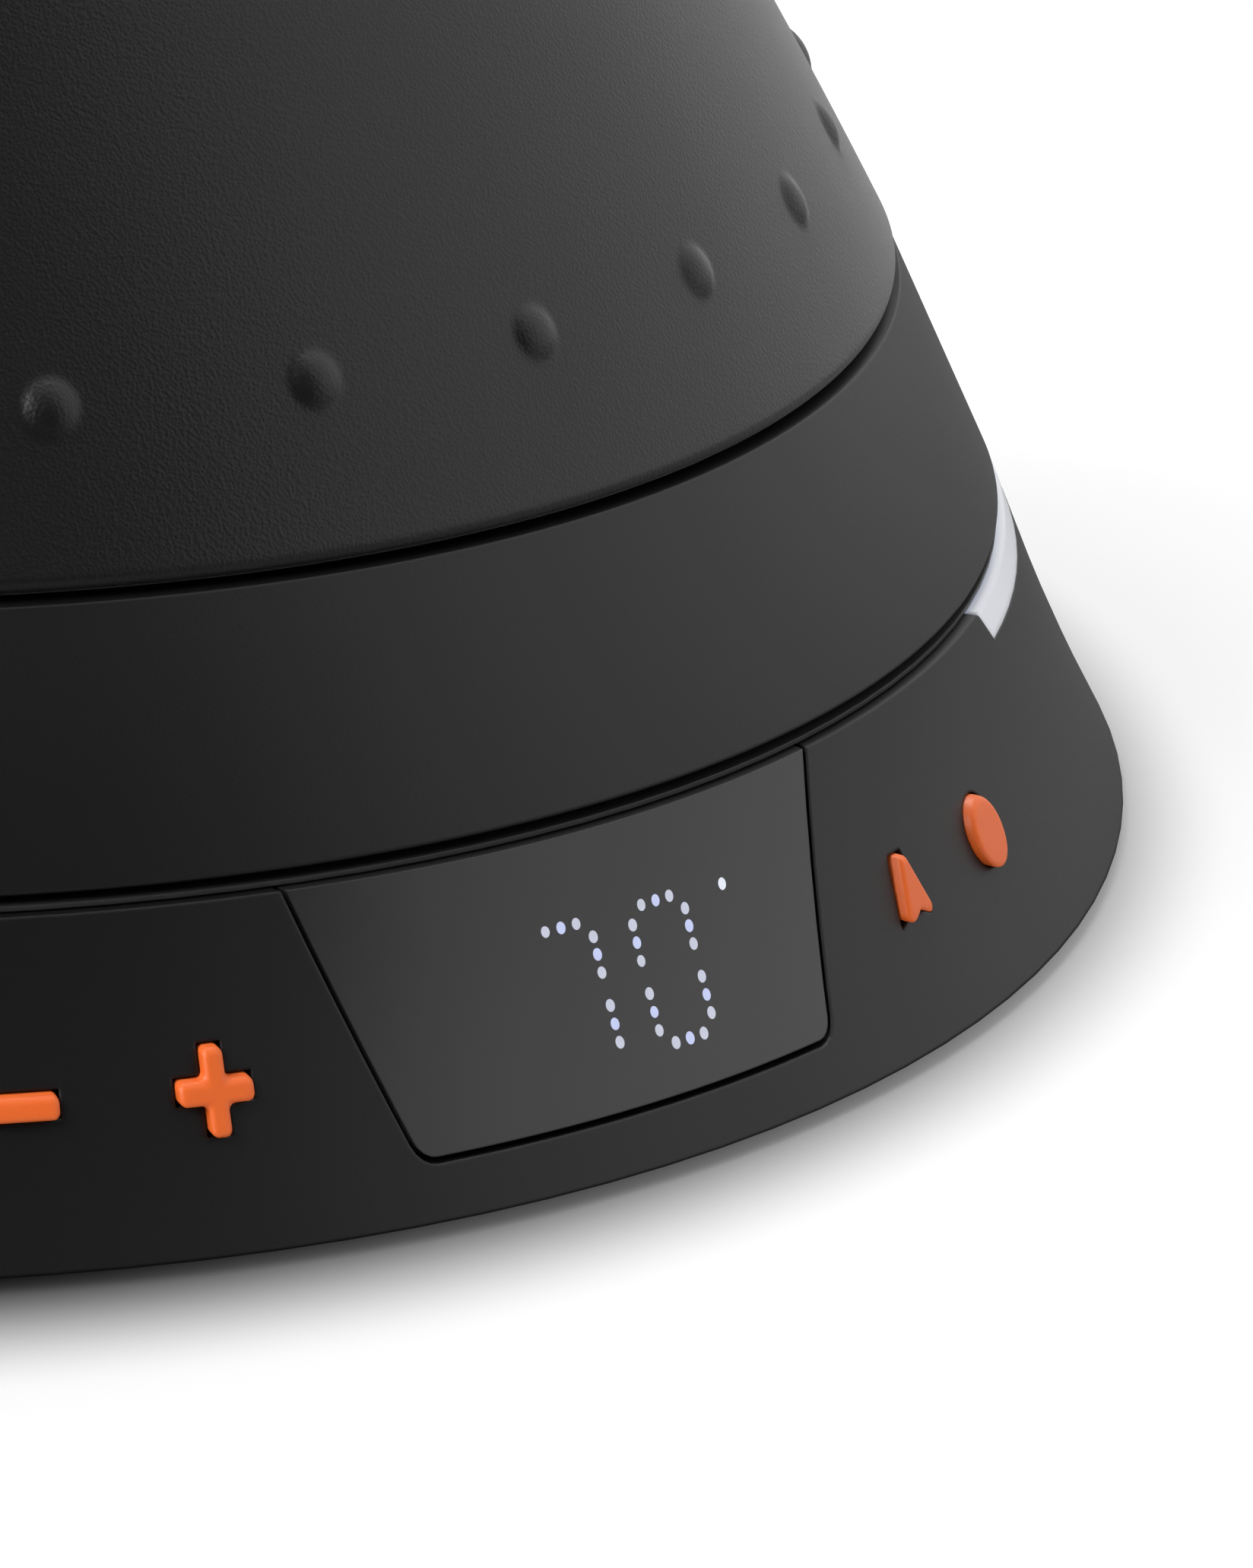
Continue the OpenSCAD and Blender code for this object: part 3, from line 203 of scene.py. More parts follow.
def surface(name, points, body, material, replaced=(), sharp=35):
    # points[..., i, j]: step i along the shape and j around it; the last step around joins the first,
    # and steps that fall on one point become a pole
    index = np.arange(points.size // 3).reshape(points.shape[:-1])
    beside = np.roll(index, -1, axis=-1)
    corners = [index[..., :-1, :], beside[..., :-1, :], beside[..., 1:, :], index[..., 1:, :]]
    quads = np.stack(corners, axis=-1).reshape(-1, 4)
    mesh = bpy.data.meshes.new(name)
    mesh.from_pydata(points.reshape(-1, 3) * mm, [], quads.tolist())
    work = bmesh.new()
    work.from_mesh(mesh)
    bmesh.ops.remove_doubles(work, verts=work.verts, dist=1e-7)
    bmesh.ops.recalc_face_normals(work, faces=work.faces)
    work.to_mesh(mesh)
    work.free()
    mesh.shade_smooth()
    mesh.set_sharp_from_angle(angle=math.radians(sharp))
    mesh.materials.append(material)
    piece = bpy.data.objects.new(name, mesh)
    bpy.context.scene.collection.objects.link(piece)
    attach(piece, body)
    if replaced:
        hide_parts(*replaced)
    return piece


def outline(corners, radii, steps=6):
    # a closed outline whose corners are arcs, each touching both of its sides
    corners = np.array(corners, float)
    before = np.roll(corners, 1, axis=0) - corners
    after = np.roll(corners, -1, axis=0) - corners
    before /= np.linalg.norm(before, axis=1)[:, None]
    after /= np.linalg.norm(after, axis=1)[:, None]
    half = np.arccos(np.clip((before * after).sum(1), -1, 1)) / 2
    radii = np.broadcast_to(radii, half.shape)
    inwards = (before + after) / np.linalg.norm(before + after, axis=1)[:, None]
    middle = corners + inwards * (radii / np.sin(half))[:, None]
    reach = (radii / np.tan(half))[:, None]
    start = corners + before * reach - middle
    end = corners + after * reach - middle
    swing = (np.pi - 2 * half)[:, None]
    share = np.linspace(0, 1, steps + 1)[None, :]
    one = np.sin((1 - share) * swing) / np.sin(swing)
    two = np.sin(share * swing) / np.sin(swing)
    arcs = middle[:, None] + one[..., None] * start[:, None] + two[..., None] * end[:, None]
    return arcs.reshape(-1, 2)


def closed(profile):
    return np.vstack([profile, profile[:1]])


def turned(profile, count=192):
    # a profile of radius and height, turned round the vertical axis
    around = np.linspace(0, 2 * np.pi, count, endpoint=False)
    radius, height = profile[:, :1], profile[:, 1:]
    return np.stack([radius * np.sin(around), -radius * np.cos(around), height + 0 * around], axis=-1)


def centreLine(x, z, heading, legs):
    # a route in the XZ plane: each leg is a length ahead, or a bend as its radius and its turn in degrees
    turn = math.radians(heading)
    route = [np.array([[x, z, turn]])]
    for ahead, bend in legs:
        x, z, turn = route[-1][-1]
        if bend == 0:
            far = np.linspace(0, ahead, max(2, int(ahead)))[1:]
            route.append(np.stack([x + far * np.cos(turn), z + far * np.sin(turn), turn + 0 * far], axis=1))
        else:
            swing = turn + np.linspace(0, math.radians(bend), max(3, int(abs(bend) / 2)))[1:]
            side = math.copysign(ahead, bend)
            place = [x + side * (np.sin(swing) - np.sin(turn)), z + side * (np.cos(turn) - np.cos(swing)), swing]
            route.append(np.stack(place, axis=1))
    route = np.vstack(route)
    far = np.concatenate([[0], np.cumsum(np.linalg.norm(np.diff(route[:, :2], axis=0), axis=1))])
    return lambda s: [np.interp(s, far, route[:, k])[:, None] for k in range(3)] if np.ndim(s) else far[-1]


def swept(route, far, sections):
    # sections[i, j] holds the height above and the distance beside the route, far[i] along it
    x, z, turn = route(far)
    up, side = sections[..., 0], sections[..., 1]
    return np.stack([x - up * np.sin(turn), side, z + up * np.cos(turn)], axis=-1)


def rings(radii, count=48):
    # round sections of the given radii
    around = np.linspace(0, 2 * np.pi, count, endpoint=False)
    return np.stack([radii[:, None] * np.cos(around), radii[:, None] * np.sin(around)], axis=-1)


# finishes

def pebbledPaint():
    shader = Shader("pebbledPaint", Specular_IOR_Level=0.5, Sheen_Weight=0.25, Sheen_Roughness=0.3)
    grain = shader.pebbles(0.21) * 0.9 + shader.noise(0.16, 2) * 0.4
    patches = shader.noise(9)
    colour = shader.mixed(grain, tint(4, 4, 5), tint(13, 13, 15))
    rough = 0.4 + patches * 0.06
    return shader.paint(Base_Color=colour, Roughness=rough, Normal=shader.bumped(grain, 0.022))


def mattePaint(name="mattePaint", shade=13, grainDepth=0.006, rough=0.42):
    shader = Shader(name, Specular_IOR_Level=0.5)
    grain = shader.noise(0.15, 3)
    patches = shader.noise(14, 3)
    colour = shader.mixed(patches, tint(shade - 3, shade - 3, shade - 2), tint(shade + 3, shade + 3, shade + 4))
    normal = shader.bumped(grain, grainDepth)
    return shader.paint(Base_Color=colour, Roughness=rough + grain * 0.08, Normal=normal)


def casePlastic():
    # the base's wall: its curve is worked out here, so that no flat of the solid shows
    shader = Shader("casePlastic", Specular_IOR_Level=0.5)
    grain = shader.noise(0.12, 3)
    patches = shader.noise(16, 3)
    colour = shader.mixed(patches, tint(9, 9, 10), tint(13, 13, 15))
    normal = shader.softEdges(0.25, wallNormal(shader))
    return shader.paint(Base_Color=colour, Roughness=0.42 + grain * 0.1, Normal=shader.bumped(grain, 0.004, normal))


def plainPlastic(name, colour, rough=0.5, edge=0.2, grainDepth=0.01):
    shader = Shader(name)
    grain = shader.noise(0.25, 3)
    darker = [c * 0.85 for c in colour[:3]] + [1]
    normal = shader.bumped(grain, grainDepth, shader.softEdges(edge))
    return shader.paint(Base_Color=shader.mixed(grain, darker, colour), Roughness=rough + grain * 0.1, Normal=normal)


def wallNormal(shader):
    # the true normal of the base's flared wall, wherever a face lies on that wall
    x, y, z = (shader.axis(letter) for letter in "XYZ")
    across = (x * x + y * y) ** 0.5
    share = (z - lowest("base_shell")) / (highest("base_shell") - lowest("base_shell"))
    slope = baseSteepness(share)
    outwards = shader.add("ShaderNodeCombineXYZ", {}, {0: x / across, 1: y / across, 2: slope})
    outwards = shader.add("ShaderNodeVectorMath", {"operation": "NORMALIZE"}, {0: outwards})
    flat = shader.add("ShaderNodeNewGeometry", {}, {}, "True Normal")
    likeness = shader.add("ShaderNodeVectorMath", {"operation": "DOT_PRODUCT"}, {0: flat, 1: outwards}, "Value")
    onWall = likeness.over(0.99)
    return shader.add("ShaderNodeMix", {"data_type": "VECTOR"}, {0: onWall, 4: flat, 5: outwards}, 1)


base = {
    "lowRadius": 90,
    "topRadius": 81.4,
    "flare": 0.4,
}


def baseSteepness(share):  # how fast the wall's radius falls with height
    height = highest("base_shell") - lowest("base_shell")
    fall = base["lowRadius"] - base["topRadius"]
    return (fall + 4 * base["flare"] * (1 - 2 * share)) / height


def baseRadius(z):
    share = (z - lowest("base_shell")) / (highest("base_shell") - lowest("base_shell"))
    fall = base["lowRadius"] - base["topRadius"]
    return base["lowRadius"] - fall * share - 4 * base["flare"] * share * (1 - share)


def smokedWindow():
    shader = Shader("smokedWindow", Specular_IOR_Level=0.5, Coat_Weight=0.3, Coat_Roughness=0.2)
    # painted shade: the window's colour is lighter at the bottom and darker towards the top
    height = shader.axis("Z").eased(lowest("display_window"), highest("display_window"))
    colour = shader.mixed(height, tint(44, 43, 44), tint(34, 33, 35))
    grain = shader.noise(0.1, 2)
    normal = shader.softEdges(0.12, wallNormal(shader))
    return shader.paint(Base_Color=colour, Roughness=0.34 + grain * 0.06, Normal=normal)


def glowing(name, colour, strength=1.0):
    shader = Shader(name, Base_Color=tint(20, 20, 22), Roughness=0.6, Emission_Strength=strength)
    uneven = shader.noise(0.5, 1)
    dimmer = [c * 0.85 for c in colour[:3]] + [1]
    return shader.paint(Emission_Color=shader.mixed(uneven, dimmer, colour))


def orangeButton():
    shader = Shader("orangeButton", Specular_IOR_Level=0.5)
    grain = shader.noise(0.1, 2)
    colour = shader.mixed(grain, tint(238, 102, 36), tint(246, 114, 44))
    return shader.paint(Base_Color=colour, Roughness=0.42 + grain * 0.08, Normal=shader.bumped(grain, 0.003))


def lightStrip():
    # milky plastic lit from inside, bluer where it runs in under the kettle
    shader = Shader("lightStrip", Roughness=0.3, Coat_Weight=0.4, Coat_Roughness=0.15, Emission_Strength=0.4)
    x, y = shader.axis("X"), shader.axis("Y")
    outwards = ((x * x + y * y) ** 0.5).eased(base["topRadius"] - 1.6, base["topRadius"] - 0.2)
    colour = shader.mixed(outwards, tint(180, 198, 238), tint(206, 208, 214))
    return shader.paint(Base_Color=colour, Emission_Color=colour, Normal=shader.softEdges(0.6))


def brushedSteel(name="brushedSteel", colour=(168, 168, 170), along=(1, 1, 30)):
    shader = Shader(name, Metallic=1)
    hairs = shader.noise(0.5, 4, along)
    shine = shader.mixed(hairs, tint(*[c - 22 for c in colour]), tint(*colour))
    normal = shader.bumped(hairs, 0.004, shader.softEdges(0.15))
    return shader.paint(Base_Color=shine, Roughness=0.28 + hairs * 0.14, Normal=normal)


def castMetal(name, colour):
    shader = Shader(name, Metallic=1)
    grain = shader.noise(0.6, 4)
    shine = shader.mixed(grain, tint(*[c - 30 for c in colour]), tint(*colour))
    normal = shader.bumped(grain, 0.03, shader.softEdges(0.25))
    return shader.paint(Base_Color=shine, Roughness=0.4 + grain * 0.2, Normal=normal)


def softRubber(name, colour, rough=0.7):
    shader = Shader(name, Specular_IOR_Level=0.3)
    grain = shader.noise(0.3, 4)
    darker = tint(*[c * 0.8 for c in colour])
    normal = shader.bumped(grain, 0.02, shader.softEdges(0.3))
    uneven = shader.mixed(grain, darker, tint(*colour))
    return shader.paint(Base_Color=uneven, Roughness=rough + grain * 0.1, Normal=normal)


def circuitBoard():
    shader = Shader("circuitBoard", Roughness=0.35, Specular_IOR_Level=0.5)
    tracks = shader.add("ShaderNodeTexBrick", {}, {"Vector": shader.place(), "Scale": 0.35, "Mortar Size": 0.06}, "Fac")
    colour = shader.mixed(tracks, tint(14, 74, 44), tint(28, 108, 66))
    return shader.paint(Base_Color=colour, Normal=shader.bumped(tracks, 0.03))


finishes = {
    "body_paint": pebbledPaint(),
    "trim_paint": mattePaint(),
    "case_plastic": casePlastic(),
    "inner_plastic": plainPlastic("innerPlastic", tint(30, 30, 31)),
    "window": smokedWindow(),
    "light": glowing("clearLamp", tint(60, 64, 76), 0.2),
    "board": circuitBoard(),
    "button_orange": orangeButton(),
    "switch_grey": plainPlastic("switchGrey", tint(74, 74, 80)),
    "flex_amber": plainPlastic("amberFilm", tint(176, 112, 40), 0.3),
    "guide_white": lightStrip(),
    "relay_blue": plainPlastic("relayBlue", tint(36, 78, 160), 0.35),
    "supply_yellow": plainPlastic("supplyYellow", tint(196, 172, 70), 0.4),
    "contact_brass": castMetal("contactBrass", (214, 178, 110)),
    "ring_grey": plainPlastic("ringGrey", tint(52, 52, 54), 0.45, 0.1),
    "steel": brushedSteel(),
    "aluminium": castMetal("castAluminium", (190, 190, 193)),
    "element": castMetal("elementTube", (130, 124, 116)),
    "ceramic": plainPlastic("ceramic", tint(226, 216, 190), 0.7),
    "rubber": softRubber("blackRubber", (34, 34, 35)),
    "silicone": softRubber("greySilicone", (120, 120, 124), 0.5),
    "silicone_red": softRubber("redSilicone", (160, 62, 44), 0.5),
    "grip_plastic": mattePaint("gripPlastic", 33, 0.012, 0.56),
}
slotOf = {part["node"]: part["material_slot"] for part in frame["record"]["subparts"]}
for node, piece in nodes.items():
    for slot in piece.material_slots:
        slot.material = finishes[slotOf[node]]
print("finishes made:", len(finishes))


# kettle body, band and neck

body = {
    "footRadius": 73.9,
    "lean": 29.8,  # degrees
    "curveRadius": 450,
    "edgeRadius": 0.7,
    "wall": 2.8,
    "studs": 27,
    "studHeight": 8.95,
    "studRadius": 1.65,
    "studRise": 0.45,
    "studStart": -7.85,  # degrees from the display towards the handle
    "studBlend": 0.05,
    "studReach": 2.2,  # how far around a stud's middle the mesh is fine
    "rootRadius": 9.5,  # half the width at the spout's root, which has no stud in it
}
bodyFoot = lowest("kettle_body")
bodyNeck = highest("kettle_body")
curveX = body["footRadius"] - body["curveRadius"] * math.cos(math.radians(body["lean"]))
curveZ = bodyFoot - body["curveRadius"] * math.sin(math.radians(body["lean"]))


def bodyRadius(z):
    return curveX + np.sqrt(body["curveRadius"] ** 2 - (z - curveZ) ** 2)


def footEdge():
    # an arc from the flat foot into the long curve, touching both
    edge, curve = body["edgeRadius"], body["curveRadius"]
    up = bodyFoot + edge - curveZ
    out = math.sqrt((curve - edge) ** 2 - up ** 2)
    swing = np.linspace(-np.pi / 2, math.atan2(up, out), 13)
    return np.stack([curveX + out + edge * np.cos(swing), bodyFoot + edge * (1 + np.sin(swing))], axis=1)


def bodySkin():
    # the side is a long arc from foot to neck; each stud lifts it by a round cap
    lean = math.radians(body["lean"])
    edge = footEdge()
    studZ = bodyFoot + body["studHeight"]
    reach = body["studReach"]
    rows = np.concatenate([np.linspace(edge[-1, 1] + 0.3, studZ - reach, 6, endpoint=False),
                           np.linspace(studZ - reach, studZ + reach, 21), np.linspace(studZ + 3, bodyNeck, 34)])
    side = np.stack([bodyRadius(rows), rows], axis=1)
    inner = np.linspace(bodyNeck, bodyFoot + 2, 6)
    inside = np.stack([bodyRadius(inner) - body["wall"], inner], axis=1)
    profile = closed(np.vstack([[[edge[0, 0] - 1, bodyFoot]], edge, side, inside]))
    pitch = 2 * np.pi / body["studs"]
    near = reach / bodyRadius(studZ)
    steps = np.concatenate([np.linspace(-pitch / 2, -near, 5, endpoint=False),
                            np.linspace(-near, near, 19, endpoint=False),
                            np.linspace(near, pitch / 2, 5, endpoint=False)])
    studs = math.radians(body["studStart"]) + pitch * np.arange(body["studs"])
    clear = -np.sin(studs) < math.cos(math.asin(body["rootRadius"] / bodyRadius(studZ)))
    around = (studs[:, None] + steps).ravel()
    beside = np.tile(steps, body["studs"]) * bodyRadius(studZ)
    above = (profile[:, 1:] - studZ) / math.cos(lean)
    rise, radius = body["studRise"], body["studRadius"]
    ball = (radius ** 2 + rise ** 2) / (2 * rise)
    far = np.minimum(beside ** 2 + above ** 2, (ball * 0.97) ** 2)  # kept inside the ball for the root below
    cap = np.sqrt(ball ** 2 - far) - (ball - rise)
    lift = (cap + np.sqrt(cap ** 2 + body["studBlend"] ** 2)) / 2 * np.repeat(clear, len(steps))
    onSide = np.zeros(len(profile), bool)
    onSide[1 + len(edge):1 + len(edge) + len(side)] = True
    lift = np.where(onSide[:, None] & (np.abs(above) < 4), lift, 0)
    width = profile[:, :1] + lift * math.cos(lean)
    height = profile[:, 1:] + lift * math.sin(lean)
    return np.stack([width * np.sin(around), -width * np.cos(around), height], axis=-1)


band = {
    "lowRadius": 80.92,
    "topRadius": 73.8,
    "wall": 2.2,
    "edge": 0.22,
    "ledge": 4,  # width of the flat top
    "ledgeThick": 1.2,
}
neck = {
    "boreRadius": 24.1,
    "radius": 29,
}


def bandProfile():
    # a thin wall that leans in as it rises, with a flat top that reaches inwards
    low, top = lowest("skirt_band"), highest("skirt_band")
    under = top - band["ledgeThick"]
    corners = [(band["lowRadius"] - band["wall"], low), (band["lowRadius"], low), (band["topRadius"], top),
               (band["topRadius"] - band["ledge"], top), (band["topRadius"] - band["ledge"], under),
               (band["topRadius"] - band["wall"], under)]
    return closed(outline(corners, [0.3, band["edge"], band["edge"], 0.2, 0.2, 0.2], 6))


surface("body_skin", bodySkin(), "kettle", finishes["body_paint"], ["kettle_body"])
surface("band_skin", turned(bandProfile(), 384), "kettle", finishes["trim_paint"], ["skirt_band"])
neckCorners = [(neck["boreRadius"], lowest("neck_ring")), (neck["radius"], lowest("neck_ring")),
               (neck["radius"], highest("neck_ring")), (neck["boreRadius"], highest("neck_ring"))]
surface("neck_rim", turned(closed(outline(neckCorners, [0.1, 0.2, 0.5, 0.5], 6))), "kettle", finishes["trim_paint"],
        ["neck_ring"])
print("kettle body made")


# buttons

button = {
    "size": 4.35,
    "bar": 1.2,
    "roundSize": 3.9,
    "arrowWidth": 3.4,
    "arrowHeight": 3.6,
    "arrowNotch": 0.7,
    "arrowTip": 0.65,
    "arrowRadius": 0.35,
    "tipRadius": 0.13,
    "innerAngle": 17.75,
    "outerAngle": 25.1,
    "middle": 8.7,
    "proud": 0.7,
    "cornerRadius": 0.4,
    "faceEdge": 0.33,
    "behind": 2.3,  # how deep a cap reaches behind the wall
}


def barCorners(width, height):
    return [(-width / 2, -height / 2), (width / 2, -height / 2), (width / 2, height / 2), (-width / 2, height / 2)]


def plusCorners(size, thick):
    a, b = size / 2, thick / 2
    return [(b, -a), (b, -b), (a, -b), (a, b), (b, b), (b, a), (-b, a), (-b, b), (-a, b), (-a, -b), (-b, -b), (-b, -a)]


def arrowCorners(width, height, tip, notch):
    return [(-width / 2, -height / 2), (0, -height / 2 + notch), (width / 2, -height / 2), (tip / 2, height / 2),
            (-tip / 2, height / 2)]


def buttonPoints(angle, shape):
    # shape(inset, radius) is the outline, drawn in by the inset; the rim rolls over into the face
    edge = button["faceEdge"]
    roll = np.linspace(0, np.pi / 2, 7)
    inset = np.concatenate([[0, 0], edge * (1 - np.cos(roll))])
    depth = np.concatenate([[-button["behind"], -1], button["proud"] - edge * (1 - np.sin(roll))])
    walls = np.array([shape(g) for g in inset])
    shrink = np.array([0.75, 0.5, 0.25, 0])[:, None, None]
    walls = np.concatenate([walls[:1] * 0, walls, walls[-1] * shrink])
    depth = np.concatenate([[-button["behind"]], depth, [button["proud"]] * 4])
    across, height = walls[..., 0], walls[..., 1] + button["middle"]
    out = np.sqrt((baseRadius(height) + depth[:, None]) ** 2 - across ** 2)
    turn = math.radians(angle)
    x = across * math.cos(turn) + out * math.sin(turn)
    y = across * math.sin(turn) - out * math.cos(turn)
    return np.stack([x, y, height], axis=-1)


def minusShape(g):
    return outline(barCorners(button["size"] - 2 * g, button["bar"] - 2 * g), button["cornerRadius"] - g * 0.6)


def plusShape(g):
    return outline(plusCorners(button["size"] - 2 * g, button["bar"] - 2 * g), button["cornerRadius"] - g * 0.6)


def arrowShape(g):
    corners = arrowCorners(button["arrowWidth"] - 3 * g, button["arrowHeight"] - 2 * g, button["arrowTip"] - g,
                           button["arrowNotch"])
    return outline(corners, [button["arrowRadius"]] * 3 + [button["tipRadius"]] * 2)


def roundShape(g):
    around = np.linspace(0, 2 * np.pi, 48, endpoint=False)
    return (button["roundSize"] / 2 - g) * np.stack([np.cos(around), np.sin(around)], axis=1)


buttonShapes = {
    "minus_button": (-button["outerAngle"], minusShape),
    "plus_button": (-button["innerAngle"], plusShape),
    "arrow_button": (button["innerAngle"], arrowShape),
    "round_button": (button["outerAngle"], roundShape),
}
for node, (angle, shape) in buttonShapes.items():
    surface(node + "_cap", buttonPoints(angle, shape), node, finishes["button_orange"], [node], 50)
print("buttons made")


# lit dots of the display

display = {
    "digitPitch": 7.2,
    "firstDigit": -9.98,
    "digitWidth": 4.2,
    "digitHeight": 7.04,
    "middle": 9.8,
    "stepAcross": 1.12,
    "stepUp": 0.92,
    "dotSize": 0.66,
    "degree": (9.87, 3.2),
    "sunk": 0.05,  # how far the window's face lies inside the base's
}


def litDots(name, places, material):
    # every dot is a thin lens on the window's face: rings shrink to a point in front and behind
    places = np.array(places)
    share = np.array([0, 0.3, 0.6, 0.85, 1, 0.6, 0])  # of the dot's radius
    lift = np.array([0.02, 0.02, 0.018, 0.013, 0, -0.03, -0.03]) - display["sunk"]
    around = np.linspace(0, 2 * np.pi, 20, endpoint=False)
    radius = display["dotSize"] / 2 * share[:, None]
    across = places[:, 0, None, None] + radius * np.cos(around)
    height = places[:, 1, None, None] + radius * np.sin(around) + display["middle"]
    out = np.sqrt((baseRadius(height) + lift[:, None]) ** 2 - across ** 2)
    surface(name, np.stack([across, -out, height], axis=-1), "base", material)


def digitDots(strokes, digit):
    # strokes: t, m, b are level and r, s, l, k upright, right upper first
    x = display["firstDigit"] + digit * display["digitPitch"]
    half, width = display["digitHeight"] / 2, display["digitWidth"] / 2
    level = {"t": half, "m": 0, "b": -half}
    upright = {"r": (width, half / 2), "s": (width, -half / 2), "l": (-width, half / 2), "k": (-width, -half / 2)}
    outer, middle = [], []
    for stroke in strokes:
        if stroke in level:
            outer += [(x + side * display["stepAcross"], level[stroke]) for side in (-1, 1)]
            middle += [(x, level[stroke])]
        else:
            beside, up = upright[stroke]
            outer += [(x + beside, up + side * display["stepUp"]) for side in (-1, 1)]
            middle += [(x + beside, up)]
    return outer, middle


sevenOuter, sevenMiddle = digitDots("trs", 1)
zeroOuter, zeroMiddle = digitDots("trslkb", 2)
litDots("white_dots", sevenOuter + zeroOuter, glowing("whiteDots", tint(203, 207, 224), 1.0))
litDots("blue_dots", sevenMiddle + zeroMiddle, glowing("blueDots", tint(203, 211, 250), 1.0))
litDots("degree_dot", [display["degree"]], glowing("degreeDot", tint(238, 242, 255), 1.0))
print("display lit")


# spout

spout = {
    "rootX": 54,
    "rootZ": 46,
    "rise": 25,
    "rootLength": 32,
    "rootRadius": 9.5,
    "radius": 5.5,
    "wall": 1,
    "lipLength": 4,
    "lipRadius": 6,
    "lipStep": 0.5,  # radius of the step up to the lip
    "lipRoll": 0.75,  # radius of the lip's round edge
    "legs": [(32, 0), (30, 53), (22, 0), (26, -73), (10, 0)],
}
mirror = np.array([-1, 1, 1])  # the routes are worked out towards +X, and the spout points to -X


def spoutPoints():
    # a tube that narrows from its root, steps up into a lip with a round edge, and comes back along its bore
    route = centreLine(spout["rootX"], spout["rootZ"], spout["rise"], spout["legs"])
    end = route(0)
    lipStart, step, rolled = end - spout["lipLength"], spout["lipStep"], spout["lipRoll"]
    far = np.linspace(3, lipStart - step, 110)
    taper = (spout["rootRadius"] - spout["radius"]) * (1 - far / spout["rootLength"])
    radius = spout["radius"] + (taper + np.sqrt(taper ** 2 + 0.35 ** 2)) / 2
    roll = np.linspace(0, np.pi / 2, 6)
    lipFar = np.concatenate([lipStart + step * (1 - np.cos(roll)) - 0.3, end - rolled * (1 - np.sin(roll)),
                             end - rolled * (1 - np.cos(roll[1:]))])
    bore = spout["radius"] - spout["wall"]
    lipRadius = np.concatenate([spout["radius"] + step * np.sin(roll), spout["lipRadius"] - rolled * (1 - np.cos(roll)),
                                bore + rolled * (1 - np.sin(roll[1:]))])
    back = np.linspace(end - 2 * rolled, 3, 60)
    innerTaper = np.maximum((spout["rootRadius"] - spout["radius"]) * (1 - back / spout["rootLength"]), 0)
    far = np.concatenate([far, lipFar, back, far[:1]])
    radius = np.concatenate([radius, lipRadius, bore + innerTaper, radius[:1]])
    return swept(route, far, rings(radius)) * mirror


collar = {
    "start": 5,
    "end": 15,
    "radius": 8.35,  # at its end
    "flare": 5.6,  # how much wider it starts
    "bend": 2.2,  # power by which the flare fades
}


def collarPoints():
    # a concave flare round the spout's root
    route = centreLine(spout["rootX"], spout["rootZ"], spout["rise"], spout["legs"])
    far = np.linspace(collar["start"], collar["end"], 20)
    share = (collar["end"] - far) / (collar["end"] - collar["start"])
    radius = collar["radius"] + collar["flare"] * share ** collar["bend"]
    root = spout["rootRadius"] - (spout["rootRadius"] - spout["radius"]) * far / spout["rootLength"]
    far = np.concatenate([far, [collar["end"] + 0.3] * 2, far[::-1], far[:1]])
    radius = np.concatenate([radius, [collar["radius"] - 0.25, 7.4], root[::-1] - 0.3, radius[:1]])
    return swept(route, far, rings(radius, 64)) * mirror


surface("gooseneck", spoutPoints(), "kettle", finishes["trim_paint"],
        ["spout_root", "spout_tube", "spout_lip"])
surface("spout_flare", collarPoints(), "kettle", finishes["trim_paint"], ["spout_collar"])
print("spout made")


# handle

handle = {
    "startX": 33,
    "startZ": 88,
    "rise": 18,
    "arm": 46,
    "sleeve": 11,
    "bendRadius": 20,
    "bend": -100,
    "grip": 38,
    "width": 20,
    "depth": 15,
    "corner": 6.3,
    "cap": 2.5,
}


def gripPoints(start, end, startEdge, endEdge):
    # a rounded bar along the handle's route, whose ends roll in to a point
    legs = [(handle["arm"], 0), (handle["bendRadius"], handle["bend"]), (handle["grip"] + handle["cap"], 0)]
    route = centreLine(handle["startX"], handle["startZ"], handle["rise"], legs)
    roll = np.linspace(0, np.pi / 2, 6)
    middle = np.linspace(start + startEdge, end - endEdge, 70)[1:-1]
    far = np.concatenate([start + startEdge * (1 - np.sin(roll[::-1])), middle, end - endEdge * (1 - np.sin(roll))])
    inset = np.concatenate([startEdge * (1 - np.cos(roll[::-1])), middle * 0, endEdge * (1 - np.cos(roll))])
    sections = np.array([outline(barCorners(handle["depth"] - 2 * g, handle["width"] - 2 * g), handle["corner"] - g, 8)
                         for g in inset])
    far = np.concatenate([far[:1], far, far[-1:]])
    sections = np.concatenate([sections[:1] * 0, sections, sections[-1:] * 0])
    return swept(route, far, sections)


gripStart = handle["arm"] - handle["sleeve"]
gripEnd = handle["arm"] + handle["bendRadius"] * math.radians(-handle["bend"]) + handle["grip"]
surface("grip_skin", gripPoints(gripStart, gripEnd, 1, 0.3), "kettle", finishes["grip_plastic"],
        ["handle_grip"])
surface("grip_end", gripPoints(gripEnd + 0.05, gripEnd + handle["cap"], 0.3, 1.2), "kettle", finishes["grip_plastic"],
        ["grip_cap"])
print("handle made")


# lid

lid = {
    "radius": 28.7,
    "height": 6.2,
    "wall": 1.5,
    "openRadius": 24.8,  # inside of the rim it rests on
    "knobRadius": 11,
    "knobHeight": 8,
    "stemRadius": 5,
    "stemHeight": 4,
}


